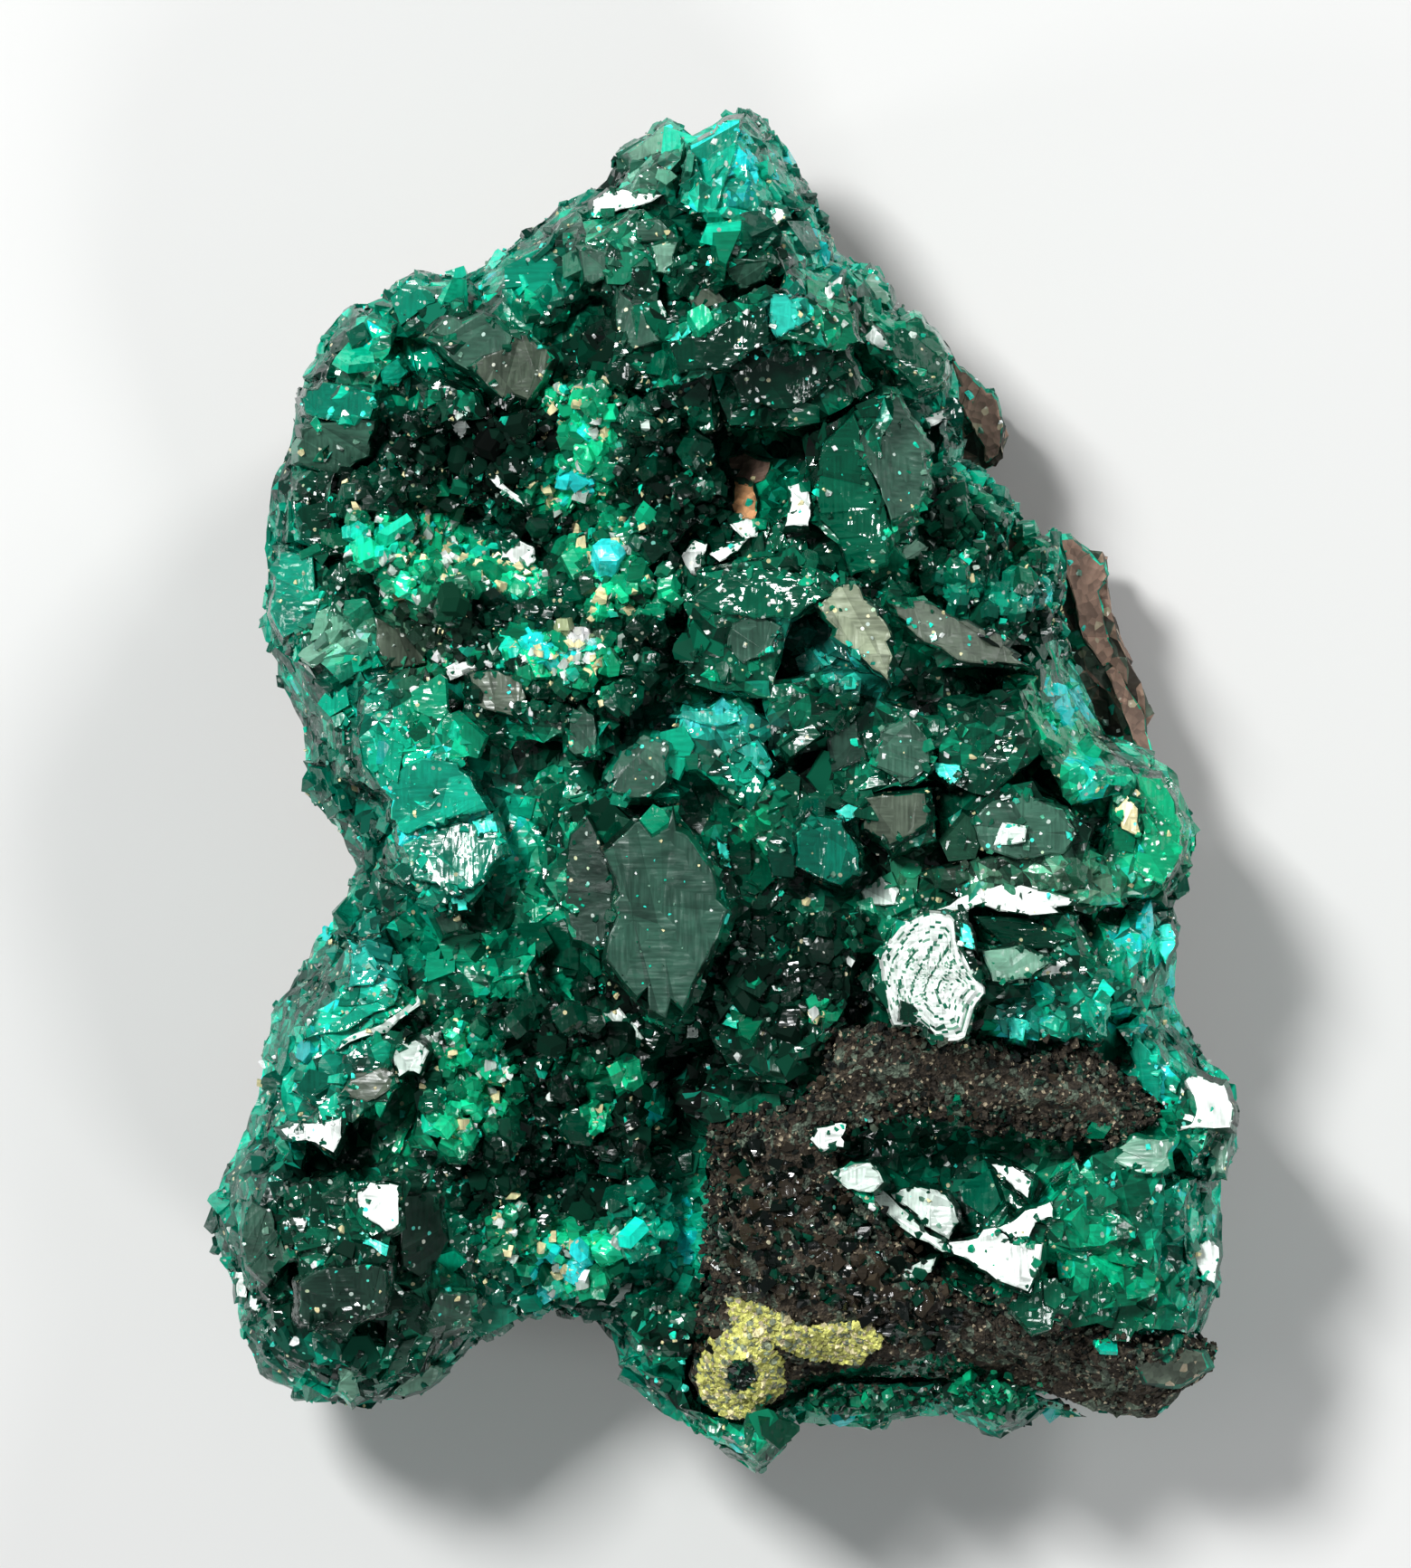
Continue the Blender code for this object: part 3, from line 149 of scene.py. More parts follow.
class NodeBook:
    """The node tree of one material."""

    def __init__(self, name: str) -> None:
        """Starts a material of that name with an empty tree."""
        self.material = bpy.data.materials.new(name)
        self.material.use_nodes = True
        self.tree = self.material.node_tree
        self.tree.nodes.clear()

    def node(self, kind: str, settings: dict, inputs: dict) -> bpy.types.Node:
        """Adds a node.

        Args:
            kind: the node's type.
            settings: its properties, set before its sockets.
            inputs: what its sockets get, a number, a colour, a socket or a Value, by name or place.

        Returns:
            The node.
        """
        made = self.tree.nodes.new(kind)
        for key, setting in settings.items():
            if key == "stops":
                ramp = made.color_ramp
                while len(ramp.elements) < len(setting):
                    ramp.elements.new(1.0)
                for element, (place, colour) in zip(ramp.elements, setting):
                    element.position = place
                    element.color = (*colour, 1.0)
            else:
                setattr(made, key, setting)
        for key, given in inputs.items():
            plug = given.socket if isinstance(given, Value) else given
            if isinstance(plug, bpy.types.NodeSocket):
                self.tree.links.new(plug, made.inputs[key])
            else:
                made.inputs[key].default_value = plug
        return made

    def value(self, kind: str, settings: dict, inputs: dict, output: object = 0) -> Value:
        """Adds a node and gives one of its outputs as a Value."""
        return Value(self, self.node(kind, settings, inputs).outputs[output])

    def place(self, stretch: Colour = (1.0, 1.0, 1.0), turn: Colour = (0.0, 0.0, 0.0)) -> Value:
        """Gives the place on the object, in millimetres, turned and stretched.

        Args:
            stretch: how many cells there are to a millimetre along each axis.
            turn: the turn of the pattern about each axis, in radians.

        Returns:
            The place as a vector.
        """
        spot = self.value("ShaderNodeTexCoord", {}, {}, "Object")
        scale = tuple(1.0 / MM * part for part in stretch)
        return self.value(
            "ShaderNodeMapping", {}, {"Vector": spot, "Rotation": turn, "Scale": scale}
        )

    def blend(self, amount: object, first: object, second: object) -> Value:
        """Mixes two colours.

        Args:
            amount: how much of the second, from 0 to 1.
            first: a colour.
            second: a colour.

        Returns:
            The mixed colour.
        """
        return self.value(
            "ShaderNodeMix",
            {"data_type": "RGBA", "clamp_factor": True},
            {0: amount, 6: first, 7: second},
            2,
        )

    def vector(self, operation: str, *parts: object) -> Value:
        """Adds a Vector Math node on the parts, in order."""
        return self.value("ShaderNodeVectorMath", {"operation": operation}, dict(enumerate(parts)))

    def scaled(self, vector: Value, amount: object) -> Value:
        """Gives a vector or colour times a number."""
        return self.value(
            "ShaderNodeVectorMath", {"operation": "SCALE"}, {"Vector": vector, "Scale": amount}
        )

    def cells(self, place: Value, output: str = "Color") -> Value:
        """Gives a Voronoi pattern with one cell to each unit of the place."""
        return self.value("ShaderNodeTexVoronoi", {}, {"Vector": place, "Scale": 1.0}, output)

    def noise(self, place: Value, detail: float = 3.0) -> Value:
        """Gives soft noise, from 0 to 1."""
        return self.value(
            "ShaderNodeTexNoise", {}, {"Vector": place, "Scale": 1.0, "Detail": detail}, 0
        )

    def surface(self, inputs: dict) -> None:
        """Closes the tree with a Principled shader that has these inputs."""
        shader = self.node("ShaderNodeBsdfPrincipled", {}, inputs)
        self.node("ShaderNodeOutputMaterial", {}, {"Surface": shader.outputs[0]})


# Finishes


@dataclass(frozen=True)
class CrystalFinish:
    """Dioptase: glassy, with small cleavage facets that each turn their own way, and painted glints
    in its colour.
    """

    name: str
    transmission: float
    facet: float = 0.9
    facet_turn: float = 0.35
    fine: float = 3.2
    fine_turn: float = 0.25
    mottle: float = 0.7
    streak: float = 0.55
    index: float = 1.66
    glint: float = 0.33

    def make(self) -> bpy.types.Material:
        """Builds the material.

        Returns:
            The material.
        """
        book = NodeBook(self.name)
        tint = book.node("ShaderNodeAttribute", {"attribute_name": "tint"}, {})
        fleck = book.value("ShaderNodeAttribute", {"attribute_name": "fleck"}, {}, "Fac")
        dull = Value(book, tint.outputs["Alpha"])
        broad = book.place((self.facet, self.facet, 1.8 * self.facet), (0.3, 0.5, 0.4))
        small = book.place((self.fine, 1.7 * self.fine, self.fine), (0.2, 0.1, 0.9))
        way = book.value("ShaderNodeNewGeometry", {}, {}, "Normal")
        for cells, turn in ((broad, self.facet_turn), (small, self.fine_turn)):
            lean = book.vector("SUBTRACT", book.cells(cells), (0.5, 0.5, 0.5))
            way = book.vector("ADD", way, book.scaled(lean, turn))
        side = book.node("ShaderNodeSeparateColor", {}, {0: book.cells(broad)}).outputs[0]
        side = Value(book, side).above(0.5)
        one = book.scaled(book.place((9.0, 0.7, 2.5), (0.2, 0.3, 0.5)), side)
        other = book.scaled(book.place((0.8, 8.0, 2.5), (0.4, 0.2, 0.9)), 1 - side)
        lines = book.value(
            "ShaderNodeTexNoise",
            {},
            {"Vector": book.vector("ADD", one, other), "Scale": 1.0, "Detail": 2.0},
            1,
        )
        lean = book.vector("SUBTRACT", lines, (0.5, 0.5, 0.5))
        way = book.vector("NORMALIZE", book.vector("ADD", way, book.scaled(lean, self.streak)))
        cloud = book.noise(book.place((1.3, 1.3, 1.3)), 4.0)
        line = Value(book, book.node("ShaderNodeSeparateColor", {}, {0: lines}).outputs[1])
        shade = (cloud + line - 1.0) * self.mottle + 1.0
        colour = book.scaled(Value(book, tint.outputs["Color"]), shade)
        # Painted glints: scattered dots take white, cream, cyan or pale in place of the crystal's
        # colour, more of them on faces with a larger glint share.
        spark = book.node(
            "ShaderNodeTexVoronoi", {}, {"Vector": book.place((4.6, 4.6, 4.6)), "Scale": 1.0}
        )
        pick = book.node("ShaderNodeSeparateColor", {}, {0: spark.outputs["Color"]})
        near = 1 - Value(book, spark.outputs["Distance"]).above(0.42)
        mask = (Value(book, pick.outputs[0]) + fleck).above(1.0) * near
        glint = book.value(
            "ShaderNodeValToRGB",
            {
                "stops": (
                    (0.0, Tone.WHITE.value),
                    (0.35, Tone.CREAM.value),
                    (0.6, Tone.CYAN.value),
                    (0.8, Tone.PALE.value),
                )
            },
            {0: Value(book, pick.outputs[1])},
        )
        colour = book.blend(mask, colour, glint)
        book.surface(
            {
                "Base Color": colour,
                "Roughness": dull,
                "Normal": way,
                "IOR": self.index,
                "Specular IOR Level": self.glint,
                "Transmission Weight": self.transmission,
            }
        )
        return book.material


@dataclass(frozen=True)
class RockFinish:
    """Rock of fine grains, tinted grain by grain, with painted glitter between them."""

    name: str
    grain: float
    bump: float
    roughness: float
    glitter: float
    mottle: float = 0.9

    def make(self) -> bpy.types.Material:
        """Builds the material.

        Returns:
            The material.
        """
        book = NodeBook(self.name)
        tint = book.node("ShaderNodeAttribute", {"attribute_name": "tint"}, {})
        spot = book.place((self.grain, self.grain, self.grain))
        cells = book.node("ShaderNodeTexVoronoi", {}, {"Vector": spot, "Scale": 1.0})
        pick = book.node("ShaderNodeSeparateColor", {}, {0: cells.outputs["Color"]})
        shade = Value(book, pick.outputs[0]) * self.mottle + (1 - self.mottle / 2)
        patch = book.noise(book.place((0.5, 0.5, 0.5))) + 0.5
        colour = book.scaled(Value(book, tint.outputs["Color"]), shade * patch)
        # Painted glitter: scattered grains take a pale tan for the light they catch, with a real
        # drop in roughness there.
        mask = Value(book, pick.outputs[1]).above(1 - self.glitter)
        colour = book.blend(mask, colour, (0.42, 0.36, 0.25, 1.0))
        rough = self.roughness - mask * 0.4
        relief = book.node(
            "ShaderNodeBump",
            {},
            {"Height": cells.outputs["Distance"], "Strength": self.bump, "Distance": 0.0001},
        )
        book.surface(
            {"Base Color": colour, "Roughness": rough, "Normal": relief.outputs["Normal"]}
        )
        return book.material


@dataclass(frozen=True)
class VoidFinish:
    """The dark gaps between crystals, where light goes in and little comes out."""

    name: str
    glint: float = 0.12

    def make(self) -> bpy.types.Material:
        """Builds the material.

        Returns:
            The material.
        """
        book = NodeBook(self.name)
        tint = book.node("ShaderNodeAttribute", {"attribute_name": "tint"}, {})
        book.surface(
            {
                "Base Color": tint.outputs["Color"],
                "Roughness": 0.7,
                "Specular IOR Level": self.glint,
            }
        )
        return book.material


@dataclass(frozen=True)
class Finishes:
    """The specimen's materials, made once."""

    crystal: bpy.types.Material
    clear: bpy.types.Material
    satin: bpy.types.Material
    rock: bpy.types.Material
    crust: bpy.types.Material
    rind: bpy.types.Material
    void: bpy.types.Material

    @classmethod
    def make(cls) -> "Finishes":
        """Makes them all.

        Returns:
            The finishes.
        """
        return cls(
            CrystalFinish("dioptase", 0.30).make(),
            CrystalFinish("dioptase_clear", 0.55, facet_turn=0.2, fine_turn=0.12).make(),
            CrystalFinish(
                "dioptase_cleavage", 0.0, facet_turn=0.10, fine_turn=0.10, mottle=1.1, streak=0.45
            ).make(),
            RockFinish("granular_rock", 8.0, 0.9, 0.85, 0.05, 1.2).make(),
            RockFinish("yellow_crust", 6.0, 0.8, 0.8, 0.05, 0.7).make(),
            RockFinish("rind_rock", 3.5, 0.7, 0.7, 0.03, 0.6).make(),
            VoidFinish("dark_gap").make(),
        )

    def listed(self) -> list[bpy.types.Material]:
        """Gives them in the order of Skin."""
        return [
            self.crystal, self.clear, self.satin, self.rock, self.crust, self.rind, self.void
        ]


class Skin(Enum):
    """Which finish a face has: its place in Finishes.listed."""

    CRYSTAL = 0
    CLEAR = 1
    SATIN = 2
    ROCK = 3
    CRUST = 4
    RIND = 5
    VOID = 6


# Forms that are modelled once and laid out as copies


@dataclass(frozen=True)
class Form:
    """One modelled shape as arrays: its corners, its faces' corner numbers, and their sizes."""

    corners: np.ndarray
    loops: np.ndarray
    sizes: np.ndarray


class Bench:
    """Opens a primitive in edit mode, shapes it with operators, and takes its arrays."""

    def __init__(self, seed: int = 0) -> None:
        """Deselects everything before the primitive is added."""
        bpy.ops.object.select_all(action="DESELECT")
        self.rng = np.random.default_rng(seed)

    def open(self) -> None:
        """Goes into edit mode with everything selected."""
        bpy.ops.object.mode_set(mode="EDIT")
        bpy.ops.mesh.select_all(action="SELECT")

    def cut(self, point: tuple, normal: tuple) -> None:
        """Cuts away what lies on the normal's side of a plane and closes the cut."""
        bpy.ops.mesh.select_all(action="SELECT")
        bpy.ops.mesh.bisect(
            plane_co=point, plane_no=normal, use_fill=True, clear_outer=True, threshold=1e-5
        )

    def close(self) -> Form:
        """Leaves edit mode and turns the object into a form.

        Returns:
            The form.
        """
        bpy.ops.mesh.select_all(action="SELECT")
        bpy.ops.mesh.normals_make_consistent(inside=False)
        bpy.ops.object.mode_set(mode="OBJECT")
        shaped = bpy.context.object
        mesh = shaped.data
        corners = np.empty(len(mesh.vertices) * 3)
        mesh.vertices.foreach_get("co", corners)
        loops = np.empty(len(mesh.loops), np.int64)
        mesh.loops.foreach_get("vertex_index", loops)
        sizes = np.empty(len(mesh.polygons), np.int64)
        mesh.polygons.foreach_get("loop_total", sizes)
        matrix = np.array(shaped.matrix_world)
        corners = corners.reshape(-1, 3) @ matrix[:3, :3].T + matrix[:3, 3]
        bpy.data.objects.remove(shaped)
        bpy.data.meshes.remove(mesh)
        return Form(corners, loops, sizes)

    def prism(self, length: float, lean: float) -> Form:
        """Models a six-sided dioptase prism that ends in three faces.

        Args:
            length: how far it stands above its foot, in half widths.
            lean: how far its end faces lean from its long axis, in radians.

        Returns:
            The form, one half width across its corners.
        """
        bpy.ops.mesh.primitive_cylinder_add(
            vertices=6, radius=1.0, depth=length + 1.0, location=(0, 0, (length - 1.0) / 2)
        )
        self.open()
        tip = (0.0, 0.0, length)
        for turn in range(3):
            way = math.radians(30 + 120 * turn) + self.rng.uniform(-0.1, 0.1)
            out = math.cos(lean)
            self.cut(tip, (out * math.cos(way), out * math.sin(way), math.sin(lean)))
        return self.close()

    def chunk(self, cuts: int) -> Form:
        """Models a broken lump with flat faces, about one half width in size."""
        bpy.ops.mesh.primitive_cube_add(size=1.9, rotation=tuple(self.rng.uniform(0, 3, 3)))
        bpy.ops.object.transform_apply(location=False, rotation=True, scale=True)
        self.open()
        for _ in range(cuts):
            way = self.rng.normal(size=3)
            way /= np.linalg.norm(way)
            self.cut(tuple(way * self.rng.uniform(0.45, 0.8)), tuple(way))
        return self.close()

    def flake(self) -> Form:
        """Models a thin cleavage flake with a ragged edge."""
        bpy.ops.mesh.primitive_cylinder_add(vertices=5, radius=1.0, depth=0.45)
        self.open()
        for _ in range(2):
            way = self.rng.uniform(0, 2 * math.pi)
            out = (math.cos(way), math.sin(way), self.rng.uniform(-0.4, 0.4))
            self.cut(tuple(self.rng.uniform(0.3, 0.7) * part for part in out), out)
        return self.close()

    def grain(self) -> Form:
        """Models a rounded grain."""
        bpy.ops.mesh.primitive_ico_sphere_add(subdivisions=1, radius=1.0)
        self.open()
        bpy.ops.transform.vertex_random(offset=0.35, seed=int(self.rng.integers(1, 90)))
        return self.close()

    def slab(
        self, top: np.ndarray, depth: float, edge: float, steps: int, flare: float
    ) -> Form:
        """Models a flat-topped crystal face with that outline.

        Args:
            top: the corners of its face, in order.
            depth: how deep its sides go.
            edge: the width of the break along its rim.
            steps: how many times the face is split.
            flare: how far its sides spread for each step down.

        Returns:
            The form, in place.
        """
        bpy.ops.mesh.primitive_circle_add(vertices=len(top), radius=1.0, fill_type="NGON")
        bpy.context.object.data.vertices.foreach_set("co", top.ravel())
        self.open()
        bpy.ops.mesh.inset(thickness=edge, depth=0.0)
        bpy.ops.transform.translate(value=(0, 0, edge * 0.7))
        middle, reach = top.mean(0), np.ptp(top, axis=0)[:2].max() / 2
        main_way = self.rng.uniform(0, math.pi)
        for step in range(steps):
            way = main_way + self.rng.normal(0, 0.12) + (1.1 if step % 3 == 2 else 0.0)
            out = np.array((math.cos(way), math.sin(way), 0.0))
            bpy.ops.mesh.select_all(action="SELECT")
            bpy.ops.mesh.bisect(
                plane_co=tuple(middle + out * reach * self.rng.uniform(-0.8, 0.8)),
                plane_no=tuple(out), threshold=1e-5,
            )
        bpy.ops.mesh.select_all(action="SELECT")
        if steps:
            bpy.ops.transform.vertex_random(
                offset=0.035, normal=1.0, seed=int(self.rng.integers(1, 90))
            )
        bpy.ops.mesh.select_all(action="DESELECT")
        bpy.ops.mesh.select_mode(type="EDGE")
        bpy.ops.mesh.select_non_manifold(
            extend=False, use_wire=False, use_boundary=True, use_multi_face=False,
            use_non_contiguous=False, use_verts=False,
        )
        bpy.ops.mesh.extrude_region_move(TRANSFORM_OT_translate={"value": (0, 0, -depth)})
        spread = min(1 + flare * depth / reach, 1.9)
        bpy.ops.transform.resize(value=(spread, spread, 1.0), center_override=tuple(middle))
        bpy.ops.mesh.edge_face_add()
        return self.close()


@dataclass
class Heap:
    """Copies of forms that are gathered into one joined mesh."""

    corners: list = field(default_factory=list)
    loops: list = field(default_factory=list)
    sizes: list = field(default_factory=list)
    skins: list = field(default_factory=list)
    tints: list = field(default_factory=list)
    painted_glints: list = field(default_factory=list)
    count: int = 0

    def add(
        self,
        form: Form,
        places: np.ndarray,
        turns: np.ndarray,
        scales: np.ndarray,
        skins: np.ndarray,
        tints: np.ndarray,
        painted_glints: np.ndarray,
        rng: np.random.Generator,
    ) -> None:
        """Lays out copies of a form.

        Args:
            form: the form.
            places: where each copy's origin goes.
            turns: each copy's rotation matrix.
            scales: each copy's size along its own axes.
            skins: each copy's finish.
            tints: each copy's colour and roughness.
            painted_glints: how much each copy sparkles.
            rng: what varies the faces.
        """
        copies = len(places)
        if not copies:
            return
        corners = form.corners[None] * scales[:, None]
        corners = np.einsum("kij,knj->kni", turns, corners) + places[:, None]
        starts = self.count + np.arange(copies) * len(form.corners)
        faces = len(form.sizes)
        self.corners.append(corners.reshape(-1, 3))
        self.loops.append((form.loops[None] + starts[:, None]).ravel())
        self.sizes.append(np.tile(form.sizes, copies))
        self.skins.append(np.repeat(skins, faces))
        spread = np.repeat(tints, faces, axis=0)
        spread[:, :3] *= rng.uniform(0.7, 1.3, len(spread))[:, None]
        self.tints.append(spread)
        self.painted_glints.append(np.repeat(painted_glints, faces))
        self.count += copies * len(form.corners)

    def build(self, name: str, finishes: Finishes) -> bpy.types.Object:
        """Makes the joined mesh.

        Args:
            name: the piece's name.
            finishes: its materials.

        Returns:
            The piece.
        """
        corners = np.concatenate(self.corners) * MM
        loops = np.concatenate(self.loops)
        sizes = np.concatenate(self.sizes)
        mesh = bpy.data.meshes.new(name)
        mesh.vertices.add(len(corners))
        mesh.vertices.foreach_set("co", corners.ravel())
        mesh.loops.add(len(loops))
        mesh.loops.foreach_set("vertex_index", loops)
        mesh.polygons.add(len(sizes))
        mesh.polygons.foreach_set("loop_start", np.concatenate(([0], np.cumsum(sizes)[:-1])))
        mesh.polygons.foreach_set("material_index", np.concatenate(self.skins))
        mesh.update(calc_edges=True)
        mesh.shade_flat()
        paint(mesh, np.concatenate(self.tints), np.concatenate(self.painted_glints))
        mesh.validate()
        return show(name, mesh, finishes)


def paint(mesh: bpy.types.Mesh, tints: np.ndarray, painted_glints: np.ndarray) -> None:
    """Writes each face's colour, roughness and share of painted glints as attributes.

    Args:
        mesh: the mesh.
        tints: a colour and a roughness for each face.
        painted_glints: how much each face sparkles.
    """
    sizes = np.empty(len(mesh.polygons), np.int64)
    mesh.polygons.foreach_get("loop_total", sizes)
    tint = mesh.attributes.new("tint", "FLOAT_COLOR", "CORNER")
    tint.data.foreach_set("color", np.repeat(tints, sizes, axis=0).astype(np.float32).ravel())
    # Painted glints: how many glint dots the crystal finish paints on each face.
    fleck = mesh.attributes.new("fleck", "FLOAT", "CORNER")
    fleck.data.foreach_set("value", np.repeat(painted_glints, sizes).astype(np.float32))


def show(name: str, mesh: bpy.types.Mesh, finishes: Finishes) -> bpy.types.Object:
    """Puts a mesh in the scene with all finishes and has it ride on the specimen's body."""
    piece = bpy.data.objects.new(name, mesh)
    bpy.context.scene.collection.objects.link(piece)
    for material in finishes.listed():
        mesh.materials.append(material)
    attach(piece, "root")
    LOG.info("%s: %d faces", name, len(mesh.polygons))
    return piece


def turns_to(ways: np.ndarray, spins: np.ndarray) -> np.ndarray:
    """Gives rotations that take +Z to each way, after a spin about it.

    Args:
        ways: unit directions.
        spins: angles in radians.

    Returns:
        One 3 x 3 matrix for each.
    """
    side = np.where(np.abs(ways[:, 2:3]) < 0.9, [[0.0, 0.0, 1.0]], [[1.0, 0.0, 0.0]])
    first = np.cross(side, ways)
    first /= np.linalg.norm(first, axis=1, keepdims=True)
    second = np.cross(ways, first)
    cos, sin = np.cos(spins)[:, None], np.sin(spins)[:, None]
    return np.stack((first * cos + second * sin, second * cos - first * sin, ways), axis=2)


def along(outline: Outline, count: int, rng: np.random.Generator) -> np.ndarray:
    """Picks spots evenly along an outline's sides."""
    ring = np.array(outline)
    sides = np.roll(ring, -1, axis=0) - ring
    lengths = np.linalg.norm(sides, axis=1)
    side = rng.choice(len(ring), count, p=lengths / lengths.sum())
    return ring[side] + sides[side] * rng.random((count, 1))


def within(outline: Outline, x: np.ndarray, y: np.ndarray) -> np.ndarray:
    """Says which places lie inside an outline.

    Args:
        outline: its corners in order.
        x: the places' x.
        y: the places' y.

    Returns:
        True for each place inside.
    """
    inside = np.zeros(len(x), bool)
    for (ax, ay), (bx, by) in zip(outline, outline[1:] + outline[:1]):
        crosses = (ay > y) != (by > y)
        if ay != by:
            inside ^= crosses & (x < (bx - ax) * (y - ay) / (by - ay) + ax)
    return inside


# What the solids' surface is like


class Ground:
    """A surface as it is met from above or picked at random."""

    def __init__(self, *meshes: bpy.types.Mesh) -> None:
        """Gathers the triangles of those meshes, in millimetres."""
        corners: list[np.ndarray] = []
        faces: list[np.ndarray] = []
        count = 0
        for mesh in meshes:
            points = np.empty(len(mesh.vertices) * 3)
            mesh.vertices.foreach_get("co", points)
            mesh.calc_loop_triangles()
            triangles = np.empty(len(mesh.loop_triangles) * 3, np.int64)
            mesh.loop_triangles.foreach_get("vertices", triangles)
            corners.append(points.reshape(-1, 3) / MM)
            faces.append(triangles.reshape(-1, 3) + count)
            count += len(mesh.vertices)
        self.corners = np.concatenate(corners)
        self.faces = np.concatenate(faces)
        self.tree = BVHTree.FromPolygons(self.corners.tolist(), self.faces.tolist())

    def drop(self, x: float, y: float) -> float | None:
        """Gives the height of the surface that is seen from above at a place."""
        hit = self.tree.ray_cast(Vector((x, y, 60.0)), Vector((0, 0, -1)))
        return None if hit[0] is None else hit[0].z

    def pick(self, count: int, rng: np.random.Generator, lowest: float = 0.5) -> tuple:
        """Picks places on the outer surface, evenly by area.

        Args:
            count: how many are tried.
            rng: what picks them.
            lowest: the height under which none is kept.

        Returns:
            The places and the surface's directions there.
        """
        a, b, c = (self.corners[self.faces[:, k]] for k in range(3))
        across = np.cross(b - a, c - a)
        size = np.linalg.norm(across, axis=1)
        face = rng.choice(len(size), count, p=size / size.sum())
        u, v = rng.random((2, count, 1))
        flip = (u + v) > 1
        u, v = np.where(flip, 1 - u, u), np.where(flip, 1 - v, v)
        places = a[face] + u * (b[face] - a[face]) + v * (c[face] - a[face])
        ways = across[face] / size[face, None]
        keep = (places[:, 2] > lowest) & (ways[:, 2] > -0.75)
        places, ways = places[keep], ways[keep]
        free = np.array([self.open_to(p, w) for p, w in zip(places, ways)], bool)
        return places[free], ways[free]

    def scatter(self, outline: Outline, count: int, rng: np.random.Generator) -> tuple:
        """Finds places inside an outline, evenly as they are seen from above.

        Args:
            outline: where they are.
            count: how many are tried.
            rng: what picks them.

        Returns:
            The places and the surface's directions there.
        """
        ring = np.array(outline)
        spots = ring.min(0) + rng.random((count, 2)) * np.ptp(ring, axis=0)
        return self.drops(spots[within(outline, spots[:, 0], spots[:, 1])])

    def drops(self, spots: np.ndarray) -> tuple:
        """Finds the surface that is seen from above at each spot.

        Args:
            spots: the spots' x and y.

        Returns:
            The places and the surface's directions there.
        """
        hits = [self.tree.ray_cast(Vector((x, y, 60.0)), Vector((0, 0, -1))) for x, y in spots]
        hits = [hit for hit in hits if hit[0] is not None]
        return np.array([hit[0] for hit in hits]), np.array([hit[1] for hit in hits])

    def open_to(self, place: np.ndarray, way: np.ndarray) -> bool:
        """Says whether nothing of the solids lies close in front of a place."""
        start = Vector(place + way * 0.02)
        return self.tree.ray_cast(start, Vector(way), 3.0)[0] is None


@dataclass(frozen=True)
class Wash:
    """An oval stretch of the specimen that leans to one colour."""

    x: float
    y: float
    reach_x: float
    reach_y: float
    tone: Tone
    weight: float = 0.8
    turn: float = 0.0

    def share(self, x: np.ndarray, y: np.ndarray) -> np.ndarray:
        """Gives how much each place takes of it, from 0 to its weight."""
        turn = math.radians(self.turn)
        dx, dy = x - self.x, y - self.y
        along = (dx * math.cos(turn) + dy * math.sin(turn)) / self.reach_x
        across = (dy * math.cos(turn) - dx * math.sin(turn)) / self.reach_y
        return self.weight * np.clip(1.6 - 1.2 * np.hypot(along, across), 0.0, 1.0)
